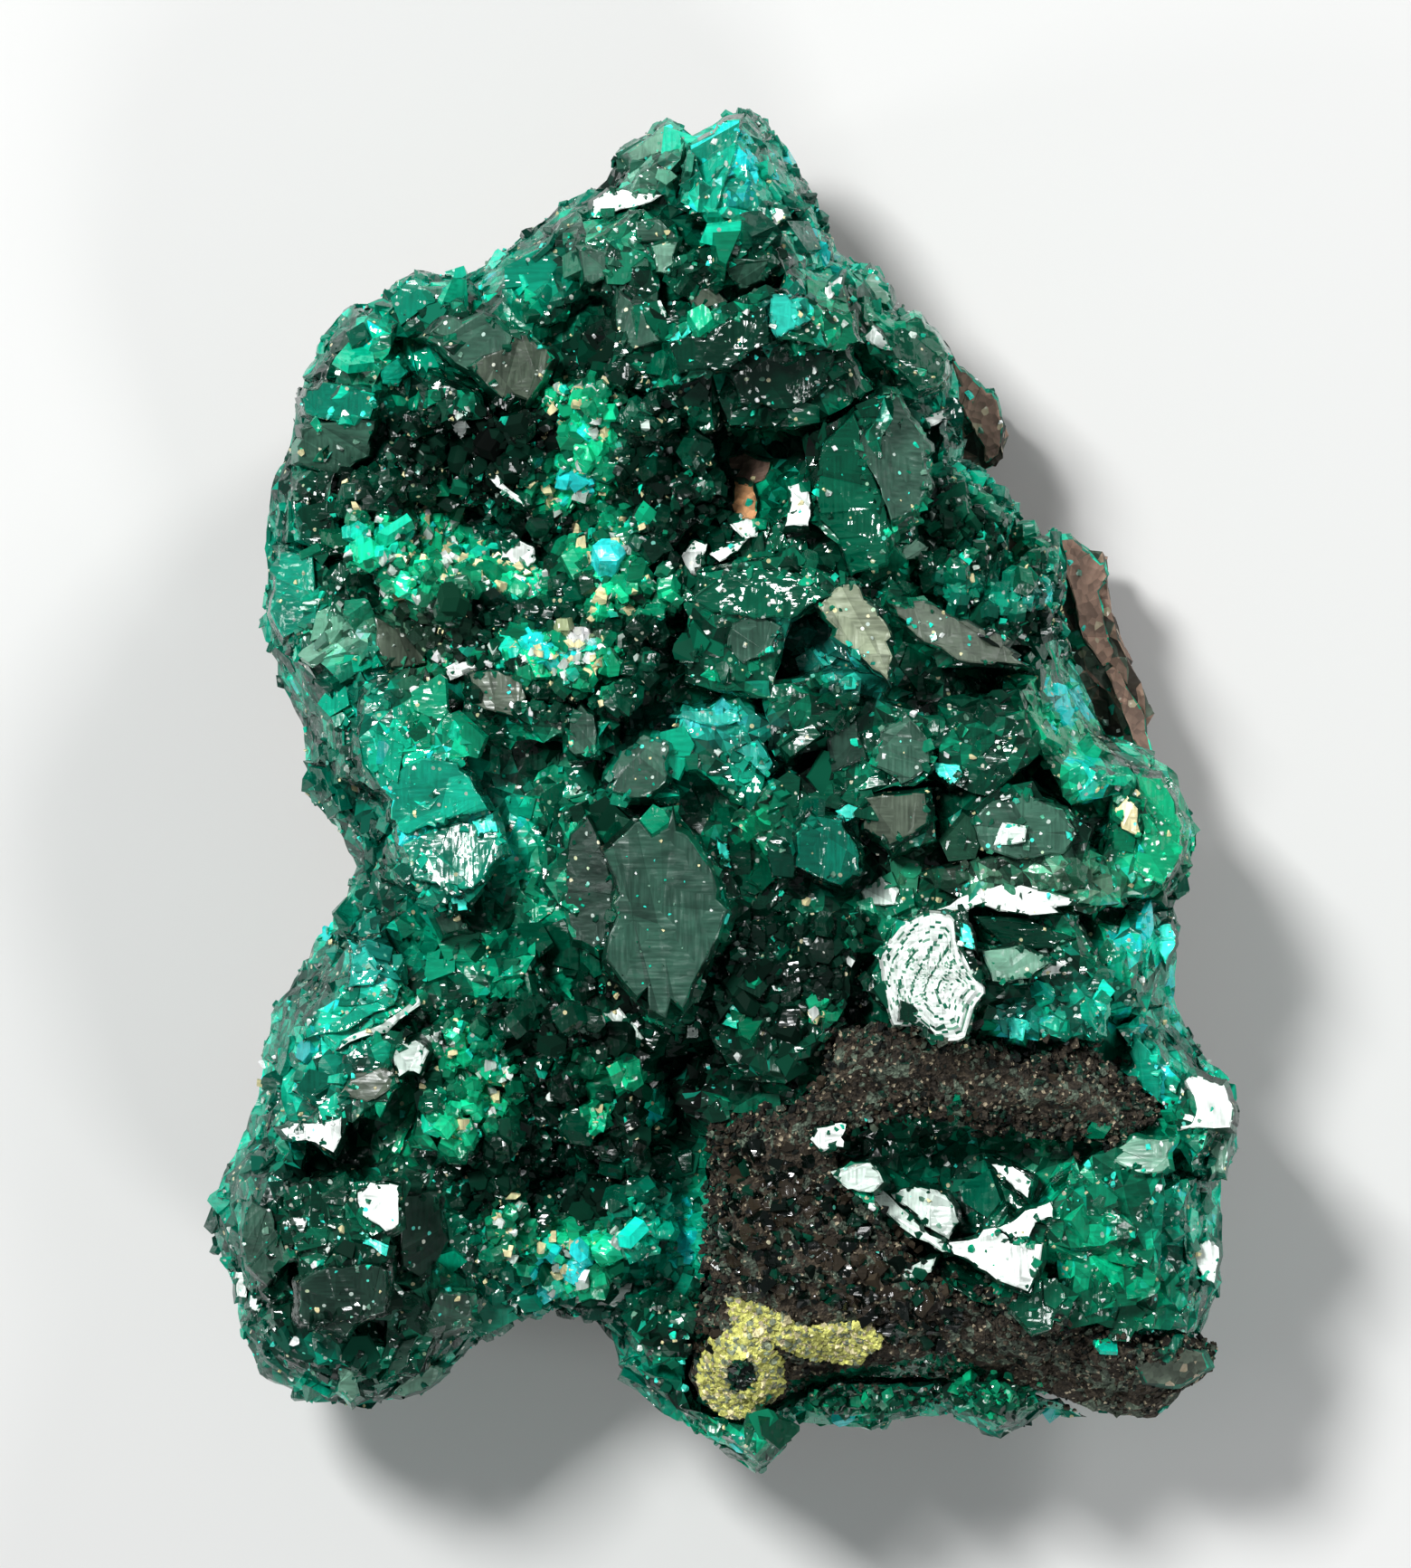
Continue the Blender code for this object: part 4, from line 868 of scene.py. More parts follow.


# Painted light and shade among the washes: the BLACK washes and the DEEP wash under the top ledges
# are painted shade; the BRIGHT, CYAN, LEAF and CREAM washes are painted light, where light shines
# through thin crystal or glints on it.
WASHES = (
    Wash(0.6, 24.8, 2.8, 2.6, Tone.BRIGHT, 0.8),
    Wash(-3.2, 25.2, 1.7, 1.5, Tone.SAGE, 0.6),
    Wash(3.9, 21.8, 1.6, 2.0, Tone.BRIGHT, 0.7),
    Wash(4.2, 18.3, 1.5, 1.1, Tone.GREEN, 0.8),
    Wash(2.5, 18.9, 0.9, 0.8, Tone.CYAN, 0.6),
    Wash(-0.5, 20.2, 3.0, 1.0, Tone.BODY, 0.8, 20),
    # Painted shade under the top ledges.
    Wash(1.0, 16.6, 3.8, 1.9, Tone.DEEP, 0.95, 15),
    Wash(-4.4, 20.8, 1.8, 1.8, Tone.SMOKE, 0.5),
    Wash(-12.0, 20.0, 3.2, 0.9, Tone.TEAL, 0.8, 12),
    Wash(-8.0, 20.6, 1.8, 1.6, Tone.TEAL, 0.7),
    Wash(-15.2, 18.4, 1.6, 1.2, Tone.TEAL, 0.6),
    Wash(-15.5, 15.3, 1.8, 0.8, Tone.TEAL, 0.9),
    Wash(-17.6, 8.2, 1.1, 3.0, Tone.BRIGHT, 0.75),
    Wash(-17.2, 3.0, 1.4, 3.2, Tone.TEAL, 0.9),
    Wash(-14.6, 2.6, 1.6, 3.4, Tone.TEAL, 0.7),
    Wash(-15.3, 6.0, 1.3, 1.0, Tone.SAGE, 0.7),
    Wash(-11.2, -1.6, 2.9, 3.0, Tone.BRIGHT, 0.75),
    Wash(-14.2, -6.9, 1.0, 1.2, Tone.CYAN, 0.8),
    Wash(-16.2, -9.6, 2.2, 3.0, Tone.BRIGHT, 0.7),
    Wash(-18.0, -12.8, 1.3, 2.8, Tone.BRIGHT, 0.7),
    Wash(-19.4, -16.4, 1.2, 2.6, Tone.TEAL, 0.9),
    Wash(-17.0, -23.0, 2.6, 1.5, Tone.TEAL, 0.8, -20),
    Wash(-14.6, -20.2, 2.6, 1.5, Tone.SMOKE, 0.8),
    Wash(-11.0, -21.0, 1.4, 1.4, Tone.SMOKE, 0.8),
    Wash(-2.4, -17.8, 1.9, 1.9, Tone.TEAL, 0.8),
    Wash(-6.0, -18.6, 1.6, 1.4, Tone.GREEN, 0.7),
    Wash(14.6, 2.6, 2.6, 2.8, Tone.LEAF, 0.7),
    Wash(15.4, 1.0, 1.6, 1.2, Tone.BRIGHT, 0.8),
    Wash(14.0, 3.6, 1.2, 1.0, Tone.BRIGHT, 0.8),
    Wash(15.0, 3.8, 1.5, 0.6, Tone.CYAN, 0.6, -50),
    Wash(17.6, -1.6, 1.7, 3.0, Tone.LEAF, 0.7),
    Wash(17.0, -5.8, 1.4, 1.4, Tone.BRIGHT, 0.8),
    Wash(14.3, -8.8, 2.4, 1.2, Tone.BRIGHT, 0.6),
    Wash(17.2, -10.4, 1.5, 2.0, Tone.BRIGHT, 0.7),
    Wash(11.7, -9.2, 0.9, 0.7, Tone.CYAN, 0.6),
    Wash(11.5, -3.4, 4.6, 1.2, Tone.STONE, 0.45, -5),
    Wash(12.4, -1.7, 2.2, 1.2, Tone.SATIN, 0.7),
    Wash(10.2, 12.4, 1.0, 1.8, Tone.TEAL, 0.7, 60),
    Wash(10.4, 7.9, 1.6, 1.0, Tone.BRIGHT, 0.7),
    Wash(12.3, 7.8, 0.8, 0.5, Tone.CYAN, 0.7),
    Wash(11.0, 9.6, 2.4, 1.8, Tone.GREEN, 0.5),
    Wash(-0.4, 2.5, 2.3, 0.8, Tone.CYAN, 0.6),
    Wash(1.2, 1.0, 1.2, 1.2, Tone.BRIGHT, 0.7),
    Wash(-3.0, 0.6, 2.2, 1.5, Tone.TEAL, 0.5),
    Wash(4.0, -2.6, 1.6, 1.4, Tone.TEAL, 0.8),
    Wash(4.2, 5.2, 2.4, 0.8, Tone.CYAN, 0.5, -35),
    Wash(0.6, 6.4, 2.4, 1.8, Tone.BODY, 0.7),
    Wash(14.2, -18.4, 1.8, 1.6, Tone.GREEN, 0.8),
    Wash(18.6, -18.0, 1.6, 3.6, Tone.TEAL, 0.7),
    Wash(16.0, -20.4, 2.6, 1.6, Tone.GREEN, 0.5),
    Wash(0.5, -26.0, 2.4, 1.2, Tone.GREEN, 0.7, -30),
    Wash(5.4, -24.8, 2.6, 1.0, Tone.GREEN, 0.6),
    Wash(10.6, -25.6, 1.2, 0.7, Tone.TEAL, 0.6),
    Wash(-10.0, -11.6, 1.7, 2.2, Tone.GREEN, 0.6),
    Wash(2.6, -11.0, 2.2, 1.2, Tone.BODY, 0.7),
    # Painted shade: the BLACK washes darken clefts, voids and the undersides of ledges.
    Wash(-9.0, 14.1, 1.9, 1.3, Tone.BLACK, 0.9),
    Wash(-6.4, 14.0, 1.0, 1.1, Tone.BLACK, 0.9),
    Wash(-2.6, 11.3, 2.2, 0.8, Tone.BLACK, 0.8),
    Wash(2.4, 13.4, 2.2, 0.8, Tone.BLACK, 0.9, 18),
    Wash(-5.4, 17.5, 1.5, 0.9, Tone.BLACK, 0.7),
    Wash(-3.8, -8.0, 1.4, 1.5, Tone.BLACK, 0.9, -45),
    Wash(-1.5, -12.0, 1.0, 3.4, Tone.BLACK, 0.98),
    Wash(6.4, -3.0, 0.9, 0.8, Tone.BLACK, 0.95),
    Wash(3.4, 0.8, 1.2, 1.0, Tone.BLACK, 0.7),
    Wash(12.5, 0.4, 0.7, 1.4, Tone.BLACK, 0.8),
    Wash(7.2, -13.7, 2.0, 0.6, Tone.BLACK, 0.8),
    Wash(8.4, 6.2, 2.2, 0.9, Tone.BLACK, 0.5),
    Wash(-16.8, -15.2, 1.4, 0.6, Tone.BLACK, 0.8),
    Wash(-1.6, -22.0, 2.0, 0.9, Tone.BLACK, 0.8),
    Wash(2.4, -7.0, 3.2, 1.8, Tone.DEEP, 0.8, -30),
    Wash(1.5, -3.0, 1.3, 3.2, Tone.DEEP, 0.6),
    Wash(8.4, 1.0, 4.0, 2.6, Tone.DEEP, 0.6),
    Wash(-12.0, 6.0, 1.8, 1.8, Tone.STONE, 0.45),
    Wash(-12.3, -17.6, 1.0, 2.0, Tone.SMOKE, 0.8),
    Wash(-7.4, -14.0, 2.4, 3.4, Tone.DEEP, 0.7),
    # Painted light: lit clusters among the small crystals.
    Wash(-13.8, 9.9, 1.5, 1.1, Tone.LEAF, 0.9),
    Wash(-10.6, 8.8, 2.0, 1.2, Tone.LEAF, 0.95),
    Wash(-11.4, 10.4, 1.3, 0.8, Tone.LEAF, 0.9),
    Wash(-6.2, 12.0, 1.5, 1.2, Tone.LEAF, 0.9),
    Wash(-5.3, 14.6, 1.0, 1.5, Tone.LEAF, 0.9),
    Wash(-6.9, 15.8, 0.9, 0.7, Tone.LEAF, 0.8),
    Wash(-4.8, 9.4, 1.5, 1.2, Tone.LEAF, 0.9),
    Wash(-7.8, 8.2, 1.1, 0.8, Tone.LEAF, 0.9),
    Wash(-3.0, 7.8, 1.4, 0.8, Tone.LEAF, 0.8),
    Wash(-4.6, 7.4, 1.2, 0.8, Tone.LEAF, 0.9),
    Wash(-7.2, 5.4, 2.0, 0.8, Tone.LEAF, 0.9),
    Wash(-5.2, 4.9, 1.3, 1.1, Tone.LEAF, 0.9),
    Wash(-12.6, 7.9, 1.2, 0.5, Tone.LEAF, 0.8),
    Wash(-11.6, 5.0, 0.8, 0.5, Tone.LEAF, 0.8),
    Wash(-6.0, 5.9, 0.9, 0.4, Tone.CREAM, 0.8),
    Wash(-10.6, -10.2, 0.8, 1.0, Tone.LEAF, 0.9),
    Wash(-9.3, -12.2, 1.2, 1.3, Tone.LEAF, 0.8),
    Wash(-11.2, -13.6, 1.0, 0.8, Tone.LEAF, 0.8),
    Wash(-12.9, -14.3, 0.6, 0.9, Tone.LEAF, 0.8),
    Wash(-5.5, -10.9, 0.7, 0.6, Tone.LEAF, 0.8),
    Wash(-4.0, -11.4, 0.9, 0.6, Tone.LEAF, 0.8),
    Wash(-5.0, -13.0, 0.6, 0.6, Tone.LEAF, 0.8),
    Wash(-6.2, -18.8, 1.5, 1.2, Tone.LEAF, 0.9),
    Wash(-4.6, -17.9, 0.9, 0.6, Tone.LEAF, 0.8),
    Wash(-8.5, -17.4, 0.9, 1.2, Tone.LEAF, 0.7),
    Wash(1.2, -1.4, 0.7, 1.6, Tone.LEAF, 0.6),
    Wash(0.6, -9.0, 0.5, 0.5, Tone.LEAF, 0.8),
    Wash(3.6, -8.8, 0.6, 0.5, Tone.LEAF, 0.7),
)


@dataclass(frozen=True)
class Palette:
    """Chooses colours for places on the specimen."""

    contrast: float = 1.25
    wall_contrast: float = 1.0
    wall_shade: float = 0.7

    def tints(
        self, places: np.ndarray, ways: np.ndarray, rng: np.random.Generator, spread: float
    ) -> np.ndarray:
        """Gives each place a dioptase colour: deep inside, teal towards the rim, washed by zone,
        with painted light and shade.

        Args:
            places: the places.
            ways: the surface's directions there.
            rng: what varies them.
            spread: how much they vary.

        Returns:
            A colour for each.
        """
        x, y, z = places.T
        # Painted light: teal grows towards the low rim, where light shines through the thin edges.
        rim = np.clip((12.6 - z) / 5.0, 0.0, 1.0)[:, None]
        body = np.array(Tone.BODY.value)
        tints = body * (1 - rim) + np.array(Tone.TEAL.value) * rim
        tints = tints * np.exp(rng.normal(0, spread, len(x)))[:, None]
        for wash in WASHES:
            share = wash.share(x, y) * np.clip(0.35 + ways[:, 2], 0.25, 1.0)
            share = np.clip(share + rng.normal(0, 0.12, len(x)) * (share > 0), 0, 1)[:, None]
            tone = np.array(wash.tone.value) * np.exp(rng.normal(0, spread, len(x)))[:, None]
            tints = tints * (1 - share) + tone * share
        # Painted light and shade: the right side lighter, the left side darker.
        lit_side = 1 + 0.25 * np.clip((x - 12) / 4, 0, 1) - 0.38 * np.clip((-12 - x) / 4, 0, 1)
        tints = tints * lit_side[:, None]
        # Painted shade: steep walls are darker.
        wall = np.clip(1.1 - 1.6 * ways[:, 2], 0.0, 1.0)
        mood = (self.contrast + self.wall_contrast * wall) * self.mood(places)
        return np.clip(tints * np.exp(mood - self.wall_shade * wall)[:, None], 0.0, 0.95)

    def mood(self, places: np.ndarray) -> np.ndarray:
        """Gives how light or dark each place is, from about -1 to 1."""
        broad = np.array([noise.noise(Vector(place) * 0.33) for place in places])
        small = np.array([noise.noise(Vector(place) * 0.95 + Vector((9, 4, 2))) for place in places])
        return broad + 0.9 * small

    def gap(self, places: np.ndarray) -> np.ndarray:
        """Gives how surely each place is in a dark gap, from 0 to 1."""
        lit = self.share(places, Tone.LEAF, Tone.CREAM, Tone.BRIGHT, Tone.CYAN)
        deep = np.clip((-self.mood(places) - 0.25) * 1.6, 0.0, 0.9) * (1 - np.clip(lit * 1.5, 0, 1))
        return np.maximum(self.share(places, Tone.BLACK), deep)

    def share(self, places: np.ndarray, *tones: Tone) -> np.ndarray:
        """Gives how strongly the washes of those tones cover each place."""
        total = np.zeros(len(places))
        for wash in WASHES:
            if wash.tone in tones:
                total = np.maximum(total, wash.share(places[:, 0], places[:, 1]))
        return total


# The tones whose washes count as lit places, for the painted light and shade on drusy crystals and
# their beds.
LIT = (Tone.LEAF, Tone.CREAM, Tone.BRIGHT, Tone.GREEN, Tone.TEAL)


# The faces given one by one


class Lie(Enum):
    """How a face lies: with what it stands on, or turned so that the lamp shows in it."""

    FLAT = (0.0, 0.0)
    LAMP = (0.22, -0.22)
    AWAY = (-0.15, 0.12)
    LEFT = (0.14, 0.0)
    UP = (0.0, -0.16)
    DOWN = (0.0, 0.18)
    RIGHT = (-0.16, 0.0)


@dataclass(frozen=True)
class Leaf:
    """One flat crystal face, seen from above."""

    tone: Tone
    outline: Outline
    lie: Lie = Lie.FLAT
    skin: Skin = Skin.SATIN
    dull: float = 0.3
    lift: float = 0.15
    depth: float = 1.4
    fleck: float = 0.03


WHITE, SATIN = Tone.WHITE, Tone.SATIN
# Painted light among the faces: WHITE, PALE and CREAM faces turned to the lamp are painted
# highlights besides the real reflection they are turned to catch; CYAN faces are painted glints;
# BRIGHT faces are painted light shining through thin crystal; SATIN faces carry a painted sheen; the
# two DEEP faces under the top ledges are painted shade.
LEAVES = (
    Leaf(WHITE, ((-5.3, 22.75), (-5.2, 23.4), (-4.6, 23.85), (-3.6, 23.75), (-2.5, 23.6),
         (-3.0, 23.3), (-3.9, 23.1), (-4.9, 22.75)), Lie.LAMP),
    Leaf(SATIN, ((-5.8, 21.4), (-4.6, 21.3), (-4.3, 20.7), (-5.2, 20.0), (-5.6, 20.1))),
    Leaf(SATIN, ((-3.5, 22.5), (-2.6, 22.6), (-1.9, 21.9), (-2.5, 21.7), (-3.4, 21.7))),
    Leaf(Tone.SAGE, ((-2.9, 21.5), (-1.9, 21.6), (-2.2, 20.4), (-2.7, 20.5))),
    Leaf(SATIN, ((-4.2, 19.7), (-3.3, 18.9), (-2.6, 17.7), (-3.6, 17.4), (-4.4, 18.2))),
    Leaf(Tone.STONE, ((-1.6, 19.7), (-0.3, 19.9), (0.1, 19.3), (-1.2, 19.0))),
    Leaf(Tone.CYAN, ((-2.3, 17.7), (-1.5, 18.4), (-1.2, 18.2), (-1.9, 17.5))),
    Leaf(SATIN, ((-11.9, 17.9), (-11.2, 18.6), (-9.6, 18.8), (-8.4, 17.9), (-8.7, 17.2),
         (-10.2, 16.3)), Lie.UP),
    Leaf(Tone.STONE, ((-10.0, 16.7), (-8.6, 17.5), (-8.2, 18.0), (-7.4, 17.9), (-6.8, 17.0),
         (-7.9, 15.2), (-8.8, 15.5)), Lie.FLAT, lift=0.3),
    Leaf(Tone.BRIGHT, ((-13.7, 16.7), (-13.0, 17.1), (-12.6, 16.6), (-13.0, 16.0), (-13.6, 16.1)),
         skin=Skin.CLEAR, dull=0.1),
    Leaf(SATIN, ((-17.2, 14.5), (-13.9, 14.6), (-14.2, 13.2), (-15.5, 12.5), (-17.0, 13.0))),
    Leaf(Tone.TEAL, ((-17.2, 15.6), (-16.0, 16.2), (-13.9, 15.7), (-14.1, 14.7), (-17.0, 14.8)),
         Lie.UP, Skin.CLEAR, 0.12),
    Leaf(WHITE, ((-9.5, 12.8), (-9.0, 12.4), (-8.0, 11.4), (-7.9, 11.15), (-8.6, 11.6),
         (-9.3, 12.3)), Lie.LAMP, lift=0.5),
    Leaf(WHITE, ((-9.0, 9.9), (-8.3, 9.9), (-7.6, 9.6), (-7.5, 9.1), (-8.0, 8.6), (-8.9, 9.1)),
         Lie.LAMP, lift=0.5),
    Leaf(WHITE, ((-2.0, 8.9), (-1.2, 9.9), (-0.7, 9.7), (-0.9, 8.9), (-1.2, 8.4)), Lie.LAMP,
         lift=0.5),
    Leaf(WHITE, ((-0.6, 9.3), (-0.1, 9.6), (0.9, 9.9), (0.5, 9.4), (-0.2, 9.0)), Lie.LAMP,
         lift=0.5),
    Leaf(WHITE, ((-10.9, 14.5), (-10.3, 14.6), (-10.0, 14.2), (-10.5, 13.9)), lift=0.5),
    Leaf(Tone.BRIGHT, ((-17.7, 9.4), (-16.4, 9.2), (-16.3, 6.4), (-17.6, 6.0), (-18.2, 7.5)),
         Lie.LEFT, Skin.CLEAR, 0.15),
    Leaf(Tone.BRIGHT, ((-1.4, 25.6), (0.0, 26.9), (0.8, 27.0), (0.4, 25.2), (-0.4, 22.9),
         (-1.4, 22.8)), Lie.LEFT, Skin.CLEAR, 0.15),
    Leaf(Tone.SAGE, ((-3.9, 25.4), (-2.4, 26.5), (-1.9, 26.2), (-2.5, 25.4), (-3.6, 24.9)),
         Lie.UP),
    Leaf(WHITE, ((1.7, 22.6), (1.85, 23.1), (2.3, 23.0), (2.4, 22.7), (2.0, 22.3)), Lie.LAMP),
    Leaf(WHITE, ((3.9, 19.2), (4.0, 19.9), (4.7, 20.5), (4.6, 19.9), (4.2, 19.4)), Lie.LAMP),
    Leaf(Tone.CYAN, ((1.75, 18.4), (1.8, 19.5), (2.4, 19.5), (3.4, 18.5), (2.1, 17.7)), Lie.UP,
         Skin.CLEAR, 0.12),
    Leaf(Tone.GREEN, ((2.1, 17.7), (3.8, 18.8), (5.2, 19.0), (5.6, 17.6), (4.4, 17.3)), Lie.UP,
         Skin.CLEAR, 0.1),
    Leaf(SATIN, ((0.0, 20.8), (1.8, 21.0), (1.6, 20.2), (0.6, 19.8))),
    Leaf(Tone.DEEP, ((-2.2, 17.6), (0.0, 18.4), (1.6, 19.0), (1.7, 17.6), (0.2, 16.6),
         (-1.8, 16.4)), Lie.UP, Skin.CRYSTAL, 0.15),
    Leaf(Tone.DEEP, ((0.2, 16.4), (2.0, 17.2), (4.3, 17.3), (4.0, 15.9), (2.6, 15.0), (0.6, 15.2)),
         Lie.UP, Skin.CRYSTAL, 0.15),
    Leaf(Tone.SAGE, ((5.5, 20.1), (6.0, 20.8), (6.7, 19.9), (6.5, 19.3), (5.9, 19.6))),
    Leaf(Tone.PALE, ((5.5, 17.9), (5.9, 18.4), (6.4, 17.9), (6.6, 17.4), (5.9, 17.6)), Lie.LAMP),
    Leaf(WHITE, ((7.8, 14.7), (8.7, 15.1), (8.85, 14.75), (8.0, 14.4)), Lie.LAMP),
    Leaf(Tone.BODY, ((6.7, 18.2), (7.6, 18.8), (8.5, 18.4), (9.0, 17.0), (8.9, 16.0), (7.7, 15.8),
         (6.7, 16.8)), Lie.RIGHT, Skin.CRYSTAL, 0.08, fleck=0.06),
    Leaf(Tone.RIND, ((9.1, 17.3), (9.9, 16.8), (10.9, 15.6), (11.2, 14.6), (11.0, 13.4),
         (10.5, 13.1), (10.4, 13.7), (9.9, 14.6), (9.4, 15.6)), Lie.RIGHT, Skin.RIND, 0.6),
    Leaf(SATIN, ((6.3, 15.7), (7.2, 15.5), (8.1, 14.2), (8.2, 13.1), (8.2, 12.1), (7.6, 11.0),
         (6.6, 10.6), (5.9, 12.4), (5.3, 13.2), (5.5, 14.5)), Lie.RIGHT, lift=0.25),
    Leaf(Tone.BODY, ((5.1, 14.8), (5.4, 13.0), (6.4, 10.8), (6.4, 8.9), (5.0, 8.4), (4.5, 9.9),
         (3.8, 10.6), (3.6, 11.7), (4.0, 13.8)), Lie.LEFT, Skin.CRYSTAL, 0.12),
    Leaf(WHITE, ((2.5, 12.0), (3.1, 12.2), (3.4, 11.3), (3.3, 10.4), (2.4, 10.4), (2.6, 11.2)),
         Lie.LAMP),
    Leaf(Tone.RIND, ((0.1, 13.2), (0.8, 13.4), (1.8, 13.0), (1.6, 12.3), (1.1, 12.1), (0.4, 12.3)),
         Lie.FLAT, Skin.RIND, 0.7, lift=0.3),
    Leaf(Tone.ORANGE, ((0.4, 12.2), (1.1, 12.0), (1.3, 11.4), (1.2, 10.7), (0.7, 10.5),
         (0.3, 11.3)), Lie.FLAT, Skin.RIND, 0.7, lift=0.4),
    Leaf(WHITE, ((0.2, 10.5), (0.8, 10.7), (1.4, 10.6), (1.3, 10.0), (0.8, 9.9)), Lie.LAMP,
         lift=0.4),
    Leaf(Tone.GREEN, ((1.7, 9.9), (2.4, 10.2), (2.5, 9.6), (1.9, 9.3)), skin=Skin.CLEAR, dull=0.1),
    Leaf(SATIN, ((6.5, 10.6), (7.5, 11.0), (7.8, 10.6), (6.8, 10.1))),
    Leaf(Tone.SAGE, ((7.1, 9.6), (7.6, 10.0), (8.1, 9.6), (7.9, 9.1), (7.1, 9.1))),
    Leaf(Tone.RIND, ((13.1, 10.4), (13.8, 10.5), (15.2, 9.3), (15.4, 8.4), (15.0, 7.9),
         (15.3, 6.5), (15.8, 5.2), (15.2, 4.9), (14.4, 6.0), (13.9, 8.0), (13.3, 9.6)), Lie.RIGHT,
         Skin.RIND, 0.6),
    Leaf(Tone.RIND, ((15.8, 5.1), (16.7, 3.2), (17.3, 1.3), (16.9, 1.1), (16.0, 3.0), (15.3, 4.7)),
         Lie.RIGHT, Skin.RIND, 0.6),
    Leaf(Tone.BEIGE, ((4.4, 7.9), (5.1, 8.1), (5.7, 7.6), (6.4, 6.4), (6.6, 5.2), (6.4, 4.3),
         (5.4, 5.2), (4.3, 6.0), (3.7, 7.2)), Lie.LEFT, dull=0.4, lift=0.3),
    Leaf(Tone.STONE, ((6.6, 7.4), (7.9, 7.4), (9.3, 6.8), (11.0, 6.0), (12.1, 5.2), (11.6, 4.7),
         (9.2, 5.1), (7.9, 5.8), (6.9, 6.6)), Lie.FLAT, dull=0.4, lift=0.3),
    Leaf(SATIN, ((0.3, 6.5), (1.2, 7.0), (2.2, 6.4), (1.6, 5.3), (0.7, 5.0), (0.1, 5.6)),
         dull=0.35),
    Leaf(Tone.BODY, ((-1.4, 7.4), (0.4, 8.8), (2.4, 8.6), (4.2, 7.6), (2.6, 6.7), (0.2, 6.9)),
         Lie.UP, Skin.CRYSTAL, 0.12),
    Leaf(Tone.CYAN, ((-1.9, 2.8), (-1.7, 3.05), (0.5, 3.05), (0.6, 2.65), (-0.3, 2.45)), Lie.UP,
         Skin.CLEAR),
    Leaf(Tone.CYAN, ((0.4, 1.5), (1.3, 2.0), (1.9, 1.0), (1.6, 0.5), (0.9, 1.2)), Lie.UP,
         Skin.CLEAR),
    Leaf(Tone.STONE, ((-13.9, 6.8), (-12.2, 6.2), (-11.9, 5.0), (-13.2, 4.8), (-13.8, 5.6))),
    Leaf(WHITE, ((-11.1, 4.8), (-9.7, 5.2), (-9.7, 4.8), (-10.9, 4.3)), Lie.LAMP, lift=0.3),
    Leaf(Tone.STONE, ((-10.1, 4.5), (-9.0, 4.7), (-8.1, 4.3), (-7.9, 3.6), (-8.4, 2.9),
         (-10.0, 3.4)), Lie.DOWN, lift=0.3),
    Leaf(SATIN, ((-6.1, 2.6), (-5.7, 3.3), (-5.2, 2.9), (-5.1, 1.4), (-6.1, 1.2)), lift=0.3),
    Leaf(SATIN, ((-4.1, 1.5), (-3.2, 2.1), (-2.2, 1.7), (-2.0, 0.5), (-3.0, -0.3), (-4.3, -0.4),
         (-4.6, 0.4)), lift=0.3),
    Leaf(Tone.BRIGHT, ((-13.5, 0.2), (-12.0, 1.2), (-10.2, 1.0), (-9.4, -0.8), (-11.0, -1.2),
         (-12.6, -1.8), (-13.6, -1.4)), Lie.UP, Skin.CLEAR, 0.15, fleck=0.06),
    Leaf(Tone.TEAL, ((-9.2, -1.2), (-8.7, -2.6), (-10.0, -4.0), (-12.3, -3.6), (-12.8, -2.2),
         (-11.0, -1.5)), Lie.LAMP, Skin.CLEAR, 0.2, fleck=0.08),
    Leaf(WHITE, ((-12.2, -2.4), (-11.8, -2.6), (-11.2, -3.5), (-10.4, -4.1), (-10.8, -4.2),
         (-11.8, -3.4)), Lie.LAMP, lift=0.3),
    Leaf(Tone.CYAN, ((-10.0, -1.3), (-9.2, -1.0), (-9.0, -1.7), (-9.8, -1.9)), Lie.LAMP),
    Leaf(Tone.CYAN, ((-10.9, -4.3), (-10.2, -4.2), (-10.2, -4.8), (-10.9, -4.9)), Lie.LAMP),
    Leaf(SATIN, ((-11.6, -4.7), (-10.6, -4.9), (-10.2, -5.6), (-11.2, -5.9))),
    Leaf(Tone.SLATE, ((-2.2, -0.8), (-1.3, -1.2), (-0.4, -2.4), (0.2, -3.8), (-0.1, -5.3),
         (-0.9, -7.0), (-2.1, -9.2), (-3.2, -8.6), (-4.7, -6.7), (-4.2, -5.0), (-4.8, -2.5),
         (-3.6, -1.4)), Lie.FLAT, dull=0.35, lift=0.75, fleck=0.012),
    Leaf(Tone.SMOKE, ((-4.9, -2.3), (-4.2, -4.8), (-5.0, -6.4), (-6.0, -6.0), (-6.3, -3.5),
         (-6.1, -1.8), (-5.4, -1.2)), Lie.LEFT, dull=0.35, fleck=0.06),
    Leaf(Tone.CYAN, ((-0.3, -2.0), (0.1, -2.2), (0.3, -3.2), (-0.1, -3.0)), Lie.RIGHT, lift=0.3),
    Leaf(Tone.CYAN, ((-0.4, -4.7), (0.2, -4.6), (0.2, -5.4), (-0.3, -5.3)), Lie.RIGHT, lift=0.3),
    Leaf(Tone.CYAN, ((-15.0, -6.0), (-14.2, -6.4), (-13.6, -7.2), (-14.0, -7.8), (-15.0, -7.9),
         (-14.8, -7.0)), Lie.LAMP, Skin.CLEAR, 0.1),
    Leaf(Tone.PALE, ((-15.4, -10.4), (-15.2, -10.0), (-13.6, -9.3), (-12.2, -8.2), (-12.1, -8.6),
         (-13.4, -9.7)), Lie.LAMP),
    Leaf(Tone.BRIGHT, ((-16.6, -9.9), (-14.6, -8.6), (-12.9, -7.9), (-13.2, -8.6), (-15.0, -9.6)),
         Lie.UP, Skin.CLEAR, 0.1),
